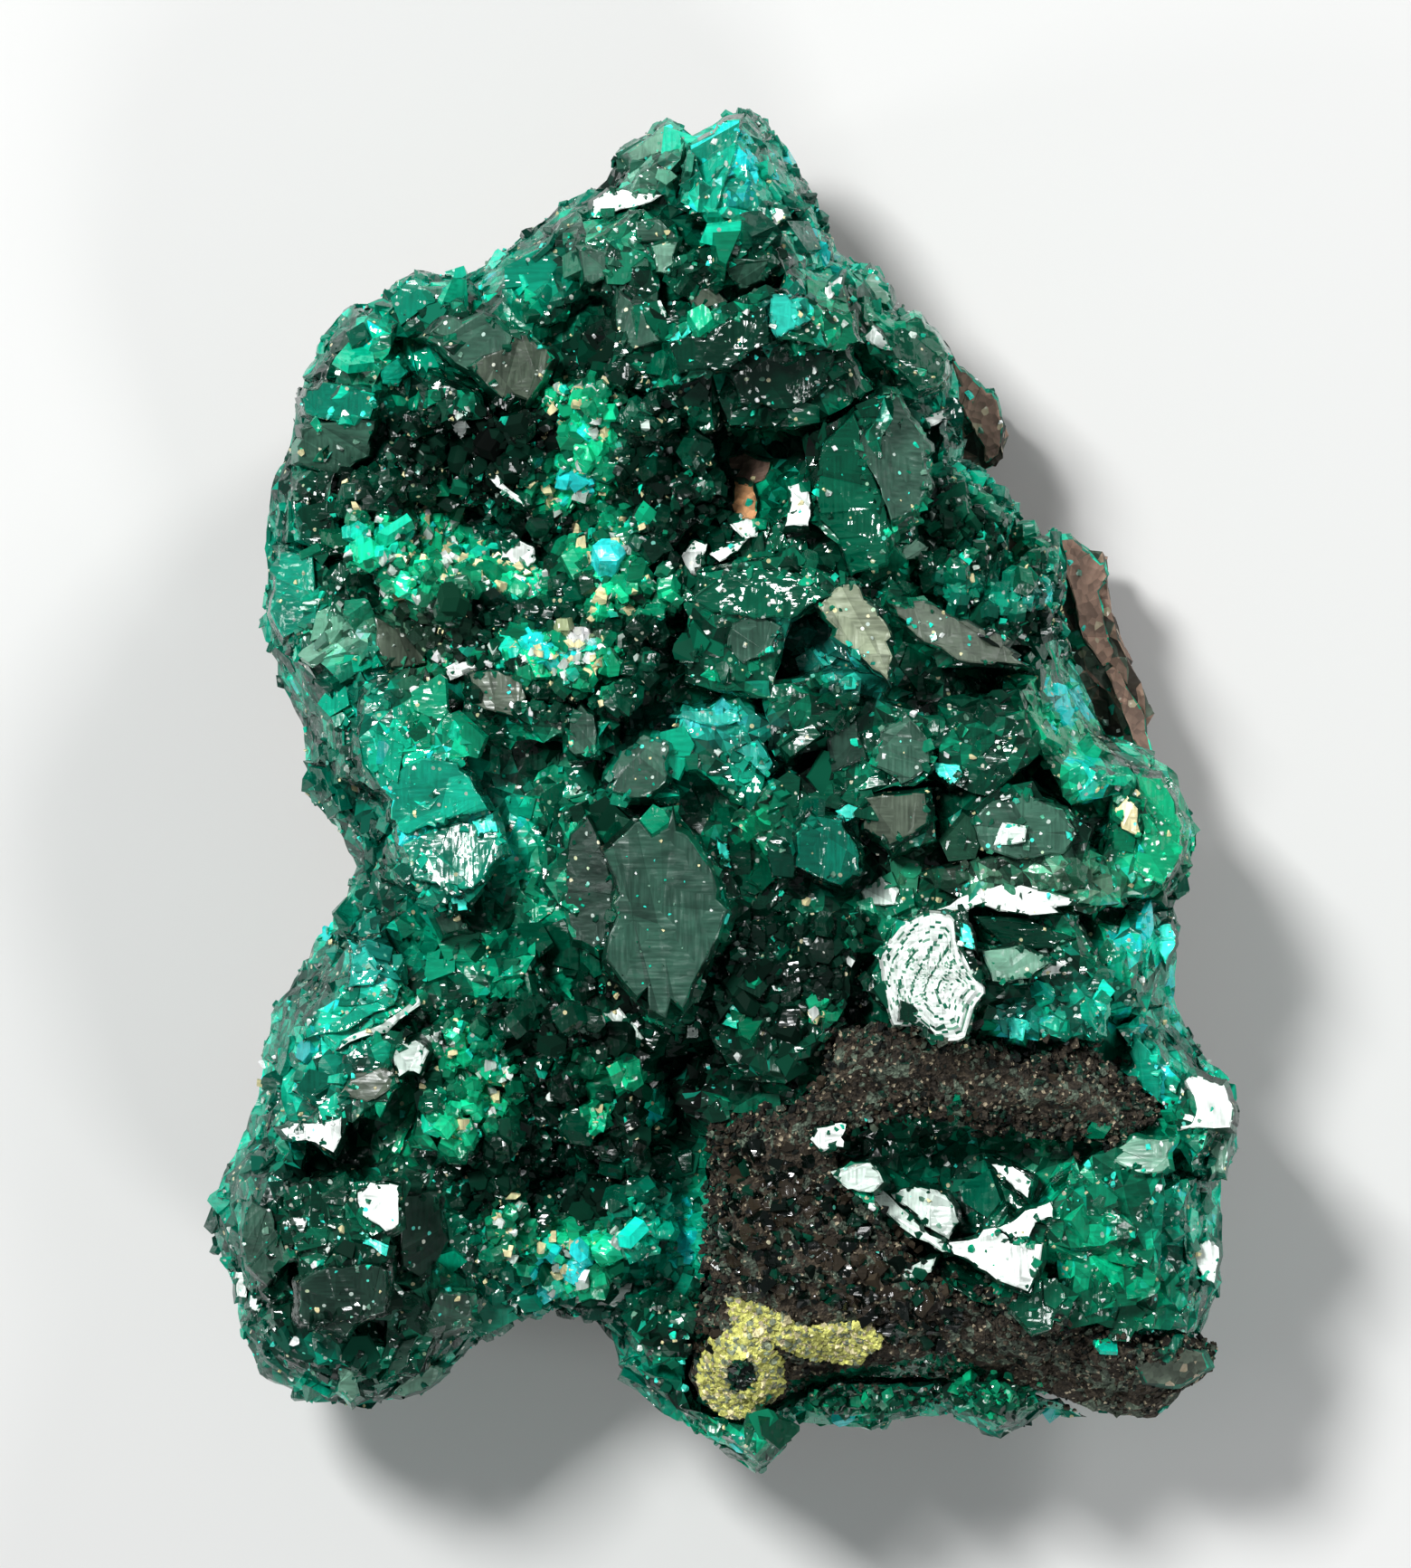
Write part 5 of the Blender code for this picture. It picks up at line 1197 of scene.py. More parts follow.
    Leaf(Tone.PALE, ((-13.0, -10.2), (-12.4, -9.9), (-11.7, -10.4), (-12.1, -11.3), (-12.9, -11.4),
         (-13.1, -10.8)), Lie.LAMP, lift=0.3),
    Leaf(Tone.STONE, ((-15.3, -12.2), (-14.6, -11.3), (-13.2, -10.9), (-12.9, -11.6),
         (-14.2, -12.4))),
    Leaf(WHITE, ((-16.3, -13.3), (-15.2, -13.0), (-15.2, -13.8), (-15.5, -14.4), (-16.2, -14.0),
         (-17.3, -13.9), (-17.6, -13.4)), Lie.LAMP),
    Leaf(WHITE, ((-14.5, -16.0), (-14.0, -15.6), (-12.9, -15.7), (-12.9, -17.2), (-13.4, -17.5),
         (-14.3, -16.9)), Lie.LAMP, lift=0.3),
    Leaf(Tone.CYAN, ((-14.5, -17.4), (-13.3, -18.1), (-13.4, -18.5), (-14.3, -18.0)), Lie.LAMP),
    Leaf(SATIN, ((-18.8, -16.4), (-18.0, -16.8), (-17.4, -18.5), (-18.2, -19.8), (-19.0, -19.0),
         (-19.2, -17.5)), Lie.LEFT),
    Leaf(Tone.SMOKE, ((-17.3, -19.4), (-14.2, -18.8), (-13.0, -19.2), (-13.1, -20.9),
         (-15.0, -21.7), (-17.3, -21.2)), dull=0.2, fleck=0.05),
    Leaf(Tone.SMOKE, ((-12.8, -16.2), (-11.4, -16.0), (-11.0, -18.0), (-11.8, -19.6),
         (-12.8, -19.0)), Lie.RIGHT, dull=0.3, fleck=0.05),
    Leaf(SATIN, ((-11.3, -20.0), (-10.2, -20.1), (-9.9, -21.2), (-11.2, -21.7), (-11.8, -21.0))),
    Leaf(WHITE, ((-19.5, -19.3), (-19.15, -19.3), (-19.1, -20.3), (-19.5, -20.3)), Lie.LAMP),
    Leaf(WHITE, ((-18.9, -20.2), (-18.4, -20.5), (-18.6, -20.9), (-19.0, -20.7)), Lie.LAMP),
    Leaf(Tone.SAGE, ((-15.4, -23.0), (-14.8, -22.9), (-14.5, -24.2), (-14.9, -24.5),
         (-15.4, -24.0)), Lie.RIGHT),
    Leaf(Tone.SAGE, ((-13.3, -24.2), (-12.6, -23.5), (-11.6, -23.0), (-11.0, -23.2),
         (-12.1, -24.2))),
    Leaf(SATIN, ((-13.6, -23.6), (-12.8, -22.0), (-12.2, -21.8), (-12.6, -23.0))),
    Leaf(Tone.TEAL, ((2.9, -1.8), (3.4, -1.0), (4.6, -1.3), (5.2, -2.2), (5.3, -3.2), (4.6, -3.8),
         (3.6, -3.5), (2.8, -3.1)), Lie.UP, Skin.CLEAR, 0.12, lift=0.3),
    Leaf(Tone.CYAN, ((4.4, -0.9), (4.9, -0.55), (5.4, -0.7), (5.4, -1.1), (4.8, -1.3)), Lie.LAMP,
         lift=0.3),
    Leaf(SATIN, ((6.2, 2.4), (7.2, 2.9), (8.0, 2.0), (8.1, 0.8), (7.0, 0.2), (5.8, 0.9))),
    Leaf(Tone.SMOKE, ((4.1, 2.3), (5.2, 2.7), (5.6, 1.2), (4.2, 0.6)), Lie.LEFT),
    Leaf(Tone.STONE, ((5.6, -0.4), (7.9, -0.2), (8.0, -1.4), (6.5, -2.2), (5.5, -1.6))),
    Leaf(Tone.CYAN, ((8.3, 1.0), (9.3, 0.9), (9.4, 0.5), (8.9, 0.1), (8.5, 0.4)), Lie.LAMP,
         lift=0.3),
    Leaf(SATIN, ((9.8, -1.2), (10.6, -0.5), (12.0, -0.2), (13.4, -0.8), (13.9, -1.8), (13.4, -2.6),
         (11.6, -2.8), (10.2, -2.4)), Lie.UP),
    Leaf(Tone.PALE, ((10.2, -1.9), (10.9, -1.3), (12.0, -1.5), (11.9, -2.1), (10.3, -2.4)),
         Lie.LAMP, lift=0.3),
    Leaf(Tone.CREAM, ((15.5, -0.8), (16.0, -0.3), (16.4, -0.8), (16.5, -1.9), (15.8, -1.6)),
         Lie.LAMP),
    Leaf(Tone.PALE, ((5.4, -4.1), (6.2, -3.5), (6.9, -4.0), (6.8, -4.6), (5.7, -4.6))),
    Leaf(WHITE, ((8.4, -4.8), (9.6, -4.2), (11.0, -3.8), (12.4, -4.0), (13.8, -4.4), (13.2, -4.9),
         (11.2, -4.9), (10.2, -4.6), (9.4, -4.9)), Lie.LAMP),
    Leaf(Tone.CYAN, ((9.2, -5.2), (9.8, -5.6), (9.9, -6.4), (9.3, -6.1)), Lie.LAMP),
    Leaf(Tone.DEEP, ((9.9, -5.1), (12.0, -5.1), (14.0, -5.9), (13.0, -6.3), (11.0, -6.2)),
         Lie.AWAY, Skin.CRYSTAL, 0.1),
    Leaf(Tone.SAGE, ((10.2, -6.4), (11.5, -6.2), (12.6, -6.6), (12.8, -6.9), (12.0, -7.5),
         (10.6, -7.6))),
    Leaf(WHITE, ((12.2, -7.4), (13.0, -6.8), (13.6, -6.9), (13.3, -7.3)), Lie.LAMP),
    Leaf(Tone.CYAN, ((11.1, -9.0), (12.0, -9.2), (11.8, -10.0), (11.3, -9.9)), Lie.LAMP),
    Leaf(Tone.BRIGHT, ((16.3, -9.8), (16.9, -10.4), (17.4, -11.6), (17.3, -12.5), (16.6, -11.9),
         (16.1, -10.5)), Lie.LEFT, Skin.CLEAR, 0.1),
    Leaf(Tone.CYAN, ((17.1, -5.6), (17.8, -5.4), (18.0, -6.2), (17.6, -7.0), (17.2, -6.4)),
         Lie.LAMP),
    Leaf(Tone.LEAF, ((16.3, 0.6), (17.4, 0.4), (18.2, -1.5), (18.1, -2.8), (17.4, -3.8),
         (16.3, -3.2), (16.7, -1.6)), Lie.RIGHT, Skin.CRYSTAL, 0.1),
    Leaf(WHITE, ((8.9, -18.0), (10.7, -17.4), (11.3, -17.9), (12.6, -18.0), (12.0, -19.9),
         (9.9, -19.1), (9.2, -18.6)), Lie.LAMP, lift=0.4),
    Leaf(WHITE, ((10.8, -17.4), (11.9, -16.7), (12.9, -16.4), (13.0, -17.0), (12.3, -17.2),
         (12.0, -17.9), (11.2, -17.7)), Lie.LAMP, lift=0.4),
    Leaf(WHITE, ((10.6, -14.9), (11.4, -14.9), (12.2, -15.5), (12.0, -16.2), (11.3, -15.6)),
         Lie.LAMP, lift=0.4),
    Leaf(Tone.PALE, ((5.7, -16.2), (6.3, -16.0), (7.2, -16.8), (9.1, -18.2), (8.7, -18.4),
         (7.3, -17.6), (6.2, -16.7)), Lie.LAMP, lift=0.5),
    Leaf(Tone.PALE, ((6.6, -16.1), (7.8, -15.8), (8.8, -16.1), (9.3, -17.2), (8.9, -17.9),
         (8.0, -17.4), (7.2, -16.6)), Lie.LAMP, lift=0.3),
    Leaf(Tone.PALE, ((4.2, -15.2), (4.9, -14.9), (5.8, -14.8), (6.3, -15.6), (5.8, -16.0),
         (4.8, -16.0)), Lie.LAMP, lift=0.4),
    Leaf(WHITE, ((3.4, -13.9), (3.7, -13.4), (4.8, -13.3), (4.7, -14.2), (3.9, -14.4)), Lie.LAMP,
         lift=0.4),
    Leaf(Tone.PALE, ((6.8, -19.1), (8.4, -18.6), (8.2, -19.2), (7.2, -19.5)), Lie.LAMP),
    Leaf(WHITE, ((18.2, -11.8), (18.6, -11.4), (20.0, -11.6), (20.5, -12.8), (20.3, -13.7),
         (18.1, -13.6)), Lie.LAMP),
    Leaf(Tone.SAGE, ((15.2, -14.6), (16.2, -13.8), (17.8, -13.9), (17.9, -15.2), (16.4, -15.2)),
         Lie.LAMP),
    Leaf(Tone.SAGE, ((19.3, -14.0), (20.1, -14.0), (20.0, -15.5), (19.4, -15.4)), Lie.LAMP),
    Leaf(WHITE, ((18.6, -18.5), (19.2, -17.9), (19.7, -18.3), (19.5, -19.7), (19.1, -19.5),
         (18.8, -19.0)), Lie.LAMP),
    Leaf(WHITE, ((-1.5, -9.9), (-1.5, -9.4), (-1.1, -9.35), (-1.05, -9.85)), Lie.LAMP, lift=0.4),
    Leaf(Tone.PALE, ((-4.8, -8.9), (-4.2, -8.7), (-3.2, -9.9), (-3.5, -10.1), (-4.2, -9.6)),
         Lie.LAMP, lift=0.3),
    Leaf(WHITE, ((-4.7, -20.6), (-4.4, -19.9), (-3.7, -19.7), (-3.8, -20.2), (-4.4, -20.7)),
         Lie.LAMP),
    Leaf(WHITE, ((-6.4, -20.5), (-5.8, -20.2), (-5.6, -20.4), (-6.1, -20.8)), Lie.LAMP),
    Leaf(Tone.BRIGHT, ((-0.1, -9.3), (0.1, -8.9), (0.6, -9.0), (0.5, -9.5)), Lie.LAMP, lift=0.4),
    Leaf(Tone.STONE, ((16.4, -23.0), (17.2, -22.6), (18.2, -22.3), (19.1, -22.5), (19.3, -23.1),
         (18.2, -23.8), (16.8, -23.7)), Lie.FLAT, Skin.RIND, 0.7),
)


@dataclass
class LeafFaces:
    """The flat faces that are told apart in the photograph, each a slab with a broken rim."""

    ground: Ground
    palette: Palette
    edge: float = 0.06
    highest_raise: float = 1.3
    steps: float = 2.2
    flare: float = 0.22
    side: float = 0.68
    clear: float = 0.78
    overhang: float = 2.8

    def ragged(self, ring: np.ndarray) -> np.ndarray:
        """Breaks an outline's sides up as a broken crystal's are."""
        rng = np.random.default_rng(int(abs(ring[0] @ (131.0, 57.0)) * 10))
        for share in (0.07, 0.07):
            ends = np.roll(ring, -1, axis=0)
            along = ends - ring
            across = np.column_stack((-along[:, 1], along[:, 0]))
            half = ring + along * rng.uniform(0.35, 0.65, (len(ring), 1))
            half += across * rng.uniform(-share, share, (len(ring), 1))
            ring = np.stack((ring, half), axis=1).reshape(-1, 2)
        return ring

    def top(self, leaf: Leaf) -> np.ndarray | None:
        """Finds the plane on which a leaf clears what is under it.

        Args:
            leaf: the leaf.

        Returns:
            Its corners, or nothing where the specimen doesn't reach.
        """
        ring = self.ragged(np.array(leaf.outline))
        middle = ring.mean(0)
        samples = np.vstack((ring, ring * 0.5 + middle * 0.5, middle[None]))
        heights = [self.ground.drop(x, y) for x, y in samples]
        found = np.array([h is not None for h in heights])
        if found.sum() < 4:
            return None
        spots = samples[found]
        levels = np.array([h for h in heights if h is not None])
        table = np.column_stack((spots - middle, np.ones(len(spots))))
        slope = np.linalg.lstsq(table, levels, rcond=None)[0]
        slope[:2] = np.clip(slope[:2], -0.7, 0.7) * (0.15 if leaf.lie is Lie.LAMP else 0.85)
        slope[:2] += leaf.lie.value
        plane = (spots - middle) @ slope[:2]
        clear = np.quantile(levels - plane, self.clear)
        level = min(clear, levels.mean() + self.highest_raise) + leaf.lift
        below = np.array([-math.inf if h is None else h for h in heights[: len(ring)]])
        loose = level + (ring - middle) @ slope[:2] - below > self.overhang
        ring = np.where(loose[:, None], 0.8 * ring + 0.2 * middle, ring)
        heights = (ring - middle) @ slope[:2]
        over = level + heights.max() + self.edge - CEILING
        if over > 0:
            heights *= max(0.0, 1 - over / heights.max())
            level = min(level, CEILING - heights.max() - self.edge)
        return np.column_stack((ring, heights + level))

    def build(self, finishes: Finishes) -> bpy.types.Object:
        """Models every leaf and joins them.

        Args:
            finishes: the specimen's materials.

        Returns:
            The piece.
        """
        rng = np.random.default_rng(3)
        heap = Heap()
        for leaf in LEAVES:
            top = self.top(leaf)
            if top is None:
                continue
            size = math.sqrt(np.ptp(top[:, 0]) * np.ptp(top[:, 1]))
            steps = min(int(size * self.steps), 7)
            seed = int(rng.integers(1, 9999))
            edge = min(self.edge, 0.08 * size)
            form = Bench(seed).slab(top, leaf.depth, edge, steps, self.flare)
            tint = np.array([[*leaf.tone.value, leaf.dull]])
            heap.add(
                form, np.zeros((1, 3)), np.eye(3)[None], np.ones((1, 3)),
                np.array([leaf.skin.value]), tint, np.array([leaf.fleck]), rng,
            )
        piece = heap.build("crystal_faces", finishes)
        self.dress_sides(piece.data, rng)
        return piece

    def dress_sides(self, mesh: bpy.types.Mesh, rng: np.random.Generator) -> None:
        """Gives the sides of the faces the colours of the mass that they break out of.

        Args:
            mesh: the faces' mesh.
            rng: what varies the colours.
        """
        count = len(mesh.polygons)
        middles, ways, sizes = np.empty(count * 3), np.empty(count * 3), np.empty(count, np.int64)
        mesh.polygons.foreach_get("center", middles)
        mesh.polygons.foreach_get("normal", ways)
        mesh.polygons.foreach_get("loop_total", sizes)
        middles, ways = middles.reshape(-1, 3) / MM, ways.reshape(-1, 3)
        steep = ways[:, 2] < self.side
        tints = self.palette.tints(middles, ways, rng, 0.35)
        tint = mesh.attributes["tint"].data
        table = np.empty(len(tint) * 4, np.float32)
        tint.foreach_get("color", table)
        table = table.reshape(-1, 4)
        corner = np.repeat(steep, sizes)
        table[corner, :3] = np.repeat(tints, sizes, axis=0)[corner]
        tint.foreach_set("color", table.ravel())
        skins = np.empty(count, np.int32)
        mesh.polygons.foreach_get("material_index", skins)
        skins[steep & (skins != Skin.RIND.value)] = Skin.CRYSTAL.value
        mesh.polygons.foreach_set("material_index", skins)


# Skins that follow the CAD nodes


@dataclass
class NodeSkin:
    """A copy of a CAD node's surface, cut fine and broken into small facets."""

    node: str
    coarse: float
    fine: float
    rough: float
    rough_fine: float
    seed: int
    lowest: float = 0.3

    def copy(self) -> bpy.types.Object:
        """Copies the node's mesh and merges its loose triangles."""
        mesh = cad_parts[self.node].data.copy()
        mesh.name = self.node + "_surface"
        piece = bpy.data.objects.new(self.node + "_surface", mesh)
        bpy.context.scene.collection.objects.link(piece)
        bpy.ops.object.select_all(action="DESELECT")
        bpy.context.view_layer.objects.active = piece
        piece.select_set(True)
        mesh.materials.clear()
        bpy.ops.object.mode_set(mode="EDIT")
        bpy.ops.mesh.select_all(action="SELECT")
        bpy.ops.mesh.remove_doubles(threshold=0.002 * MM)
        bpy.ops.object.mode_set(mode="OBJECT")
        if mesh.has_custom_normals:
            bpy.ops.mesh.customdata_custom_splitnormals_clear()
        bpy.ops.object.shade_flat()
        return piece

    def cut(self, mesh: bpy.types.Mesh, longest: float) -> None:
        """Halves edges until none that shows is longer than the limit.

        Args:
            mesh: the active object's mesh.
            longest: the limit.
        """
        bpy.context.tool_settings.mesh_select_mode = (False, True, False)
        for _ in range(7):
            corners, ends = self.corners(mesh), np.empty(len(mesh.edges) * 2, np.int64)
            mesh.edges.foreach_get("vertices", ends)
            a, b = corners[ends[::2]], corners[ends[1::2]]
            long = np.linalg.norm(a - b, axis=1) > longest
            long &= (a[:, 2] > self.lowest) | (b[:, 2] > self.lowest)
            if not long.any():
                return
            mesh.polygons.foreach_set("select", np.zeros(len(mesh.polygons), bool))
            mesh.vertices.foreach_set("select", np.zeros(len(mesh.vertices), bool))
            mesh.edges.foreach_set("select", long)
            bpy.ops.object.mode_set(mode="EDIT")
            bpy.ops.mesh.subdivide(number_cuts=1)
            bpy.ops.mesh.select_all(action="SELECT")
            bpy.ops.mesh.quads_convert_to_tris(quad_method="SHORTEST_DIAGONAL")
            bpy.ops.object.mode_set(mode="OBJECT")

    def corners(self, mesh: bpy.types.Mesh) -> np.ndarray:
        """Gives the mesh's corners in millimetres."""
        points = np.empty(len(mesh.vertices) * 3)
        mesh.vertices.foreach_get("co", points)
        return points.reshape(-1, 3) / MM

    def jitter(self, mesh: bpy.types.Mesh, amount: float, rng: np.random.Generator) -> None:
        """Moves corners in and out, and along the surface where it is flat.

        Args:
            mesh: the mesh.
            amount: how far at most.
            rng: what moves them.
        """
        corners = self.corners(mesh)
        ways = np.empty(len(mesh.vertices) * 3, np.float32)
        mesh.vertex_normals.foreach_get("vector", ways)
        ways = ways.reshape(-1, 3).astype(float)
        low = (corners[:, 2] <= self.lowest)[:, None]
        inward = rng.uniform(-1.0, 0.55, (len(corners), 1)) * amount
        slide = rng.uniform(-1.4, 1.4, (len(corners), 3)) * amount
        slide -= ways * (slide * ways).sum(1, keepdims=True)
        corners = np.where(low, corners, corners + ways * inward + slide * 0.9)
        mesh.vertices.foreach_set("co", (corners * MM).ravel())
        mesh.update()

    def faces(self, mesh: bpy.types.Mesh) -> tuple[np.ndarray, np.ndarray]:
        """Gives each face's middle in millimetres and its direction."""
        middles = np.empty(len(mesh.polygons) * 3)
        mesh.polygons.foreach_get("center", middles)
        ways = np.empty(len(mesh.polygons) * 3)
        mesh.polygons.foreach_get("normal", ways)
        return middles.reshape(-1, 3) / MM, ways.reshape(-1, 3)

    def shape(self) -> tuple[bpy.types.Object, np.random.Generator]:
        """Builds the broken surface, with a random number kept for each larger facet.

        Returns:
            The piece and the generator that goes on to colour it.
        """
        rng = np.random.default_rng(self.seed)
        piece = self.copy()
        mesh = piece.data
        # Painted light and shade: faces that point the same way get one shared brightness.
        ways = np.round(self.faces(mesh)[1] * 5.0) @ np.array((12.9, 78.2, 37.7))
        facing_shade = mesh.attributes.new("facing_shade", "FLOAT", "FACE")
        facing_shade.data.foreach_set("value", ((np.sin(ways) * 43.7) % 1.0).astype(np.float32))
        self.cut(mesh, self.coarse)
        self.jitter(mesh, self.rough, rng)
        cell = mesh.attributes.new("cell", "FLOAT", "FACE")
        cell.data.foreach_set("value", rng.random(len(mesh.polygons)).astype(np.float32))
        self.cut(mesh, self.fine)
        self.jitter(mesh, self.rough_fine, rng)
        return piece, rng

    def cells(self, mesh: bpy.types.Mesh, name: str = "cell") -> np.ndarray:
        """Gives the number of the larger facet that each face is part of, or the shared painted
        shade of the faces that point its way.
        """
        values = np.empty(len(mesh.polygons), np.float32)
        mesh.attributes[name].data.foreach_get("value", values)
        return values

    def finish(self, piece: bpy.types.Object, finishes: Finishes, slot: Slot) -> None:
        """Gives the piece its finishes and has it stand for its node."""
        mesh = piece.data
        for name in ("cell", "facing_shade"):
            mesh.attributes.remove(mesh.attributes[name])
        for material in finishes.listed():
            mesh.materials.append(material)
        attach(piece, "root")
        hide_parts(self.node)
        LOG.info("%s: %d faces", piece.name, len(mesh.polygons))


@dataclass
class CrystalMass(NodeSkin):
    """The dioptase crystals that have grown together, or the bed of a hollow's small ones."""

    shaded: bool = False

    def build(self, finishes: Finishes, palette: Palette) -> bpy.types.Object:
        """Makes the crystals' surface and colours it.

        Args:
            finishes: the specimen's materials.
            palette: what gives the colours.

        Returns:
            The piece.
        """
        piece, rng = self.shape()
        mesh = piece.data
        middles, ways = self.faces(mesh)
        cells = self.cells(mesh)
        tints = palette.tints(middles, ways, rng, 0.12)
        tints *= np.exp((cells - 0.5) * 1.7)[:, None]
        odd = (cells * 97.0) % 1.0
        # Scattered facets take half of SATIN, SMOKE or BRIGHT, so that some show a painted sheen and
        # some painted light through them.
        for limit, tone in ((0.03, Tone.SATIN), (0.05, Tone.SMOKE), (0.075, Tone.BRIGHT)):
            pick = (odd < limit)[:, None] & (odd >= limit - 0.03)[:, None]
            tints = np.where(pick, 0.5 * tints + 0.5 * np.array(tone.value), tints)
        dull = 0.08 + 0.25 * ((cells * 31.0) % 1.0) ** 2
        # Painted light and shade: each face lighter or darker by the way it points.
        facing_shades = self.cells(mesh, "facing_shade")
        tints *= np.exp((facing_shades - 0.5) * 1.3)[:, None]
        # Painted light and shade: shaded beds are darker outside the lit washes.
        tints *= np.where(self.shaded, 0.4 + palette.share(middles, *LIT), 1.0)[:, None]
        table = np.column_stack((np.clip(tints, 0, 0.95), dull))
        dark = palette.gap(middles) * 0.9 > rng.random(len(middles))
        mesh.polygons.foreach_set(
            "material_index", np.where(dark, Skin.VOID.value, Skin.CRYSTAL.value)
        )
        paint(mesh, table, np.full(len(table), 0.05) + 0.05 * ((cells * 13.0) % 1.0))
        self.finish(piece, finishes, Slot.DIOPTASE)
        return piece


@dataclass
class RockSkin(NodeSkin):
    """A rock surface in one or more rock colours."""

    tones: tuple = (Tone.BROWN,)
    skin: Skin = Skin.ROCK
    slot: Slot = Slot.GRANULAR
    patches: tuple = ()

    def build(self, finishes: Finishes) -> bpy.types.Object:
        """Makes the rock's surface and colours it.

        Args:
            finishes: the specimen's materials.

        Returns:
            The piece.
        """
        piece, _ = self.shape()
        mesh = piece.data
        cells = self.cells(mesh)
        tones = np.array([tone.value for tone in self.tones])
        pick = ((cells * 57.0) % 1.0 * len(tones)).astype(int)
        tints = tones[pick] * np.exp((cells - 0.5) * 0.8)[:, None]
        skins = np.full(len(cells), self.skin.value)
        dull = np.full(len(cells), 0.8)
        middles = self.faces(mesh)[0]
        for outline, tone, skin, rough in self.patches:
            inside = within(outline, middles[:, 0], middles[:, 1])
            own = np.array(tone.value) * np.exp((cells - 0.5) * 1.4)[:, None]
            tints = np.where(inside[:, None], own, tints)
            skins[inside], dull[inside] = skin.value, rough
        mesh.polygons.foreach_set("material_index", skins)
        paint(mesh, np.column_stack((tints, dull)), np.zeros(len(cells)))
        self.finish(piece, finishes, self.slot)
        return piece


# What is strewn over the surfaces


@dataclass(frozen=True)
class Strew:
    """Small crystals or grains that are strewn over a surface, and how they look."""

    count: int
    size: tuple[float, float]
    forms: tuple
    seed: int
    lean: float = 0.5
    sink: float = 0.35
    stretch: float = 1.0
    tones: tuple = ()
    skin: Skin = Skin.CRYSTAL
    dull: tuple[float, float] = (0.06, 0.3)
    fleck: float = 0.03
    own: float = 0.0
    shaded: bool = False


class Strewn:
    """Lays strewn shapes on picked places and gathers them."""

    def __init__(self, palette: Palette) -> None:
        """Starts an empty heap."""
        self.palette = palette
        self.heap = Heap()

    def lay(self, strew: Strew, places: np.ndarray, ways: np.ndarray) -> None:
        """Lays one kind of shape.

        Args:
            strew: the kind.
            places: where the surface is.
            ways: which way it faces there.
        """
        rng = np.random.default_rng(strew.seed)
        calm = (ways[:, 2] > 0.35) | (rng.random(len(ways)) < 0.3)
        places, ways = places[calm], ways[calm]
        pick = rng.permutation(len(places))[: strew.count]
        places, ways = places[pick], ways[pick]
        count = len(places)
        up = ways + rng.normal(0, strew.lean, (count, 3))
        up /= np.linalg.norm(up, axis=1, keepdims=True)
        sizes = strew.size[0] + (strew.size[1] - strew.size[0]) * rng.random(count) ** 2
        sizes *= np.clip(0.55 + ways[:, 2], 0.5, 1.0)
        sizes = np.minimum(sizes, np.maximum((CEILING - places[:, 2]) * 0.6, 0.05))
        scales = sizes[:, None] * rng.uniform(0.7, 1.3, (count, 3))
        scales[:, 2] *= strew.stretch
        places = places - ways * (sizes * strew.sink)[:, None]
        turns = turns_to(up, rng.uniform(0, 2 * math.pi, count))
        tints = self.palette.tints(places, ways, rng, 0.35) * rng.uniform(0.8, 1.9, (count, 1))
        # Painted light and shade: shaded strews are darker outside the lit washes and lighter inside
        # them.
        if strew.shaded:
            tints *= (0.35 + 1.7 * self.palette.share(places, *LIT))[:, None]
        if strew.tones:
            tones = np.array([tone.value for tone in strew.tones])
            own = tones[rng.integers(0, len(tones), count)] * rng.uniform(0.75, 1.2, (count, 1))
            takes = (rng.random(count) < strew.own)[:, None]
            tints = np.where(takes, own, tints)
        dull = rng.uniform(*strew.dull, count)
        table = np.column_stack((np.clip(tints, 0, 0.95), dull))
        kinds = rng.integers(0, len(strew.forms), count)
        dark = self.palette.gap(places) * 0.8 > rng.random(count)
        dark &= strew.skin is not Skin.SATIN
        skins = np.where(dark, Skin.VOID.value, strew.skin.value)
        painted_glints = np.full(count, strew.fleck)
        for number, form in enumerate(strew.forms):
            mine = kinds == number
            self.heap.add(
                form, places[mine], turns[mine], scales[mine], skins[mine], table[mine],
                painted_glints[mine], rng,
            )


@dataclass(frozen=True)
class Shapes:
    """The forms that small crystals and grains are laid out from."""

    prisms: tuple
    chunks: tuple
    flakes: tuple
    grains: tuple

    @classmethod
    def model(cls) -> "Shapes":
        """Models them all.

        Returns:
            The shapes.
        """
        lean = math.radians(51)
        return cls(
            tuple(Bench(seed).prism(1.0 + 0.3 * seed, lean) for seed in range(4)),
            tuple(Bench(seed).chunk(4 + seed % 3) for seed in range(8)),
            tuple(Bench(seed).flake() for seed in range(5)),
            tuple(Bench(seed).grain() for seed in range(4)),
        )


UPPER_DRUSE = (
    (-15.8, 12.6), (-12.8, 14.8), (-9.0, 15.2), (-6.8, 16.8), (-3.6, 16.6), (-0.6, 14.6),
    (1.0, 11.6), (0.4, 9.4), (-2.0, 8.4), (-1.6, 5.2), (-3.2, 2.4), (-6.4, 2.6), (-9.6, 3.0),
    (-12.6, 6.4), (-15.8, 8.6),
)
LOWER_DRUSE = (
    (-11.6, -8.6), (-4.6, -7.6), (-2.6, -10.0), (-2.4, -16.0), (-0.6, -16.6), (-0.6, -20.0),
    (-4.4, -21.0), (-9.2, -21.2), (-10.8, -15.6), (-12.0, -12.0),
)
SLOPE_DRUSE = (
    (8.6, 13.2), (10.2, 12.8), (12.2, 10.4), (13.4, 9.0), (13.6, 5.6), (11.4, 6.4), (8.2, 7.6),
    (7.6, 9.0),
)
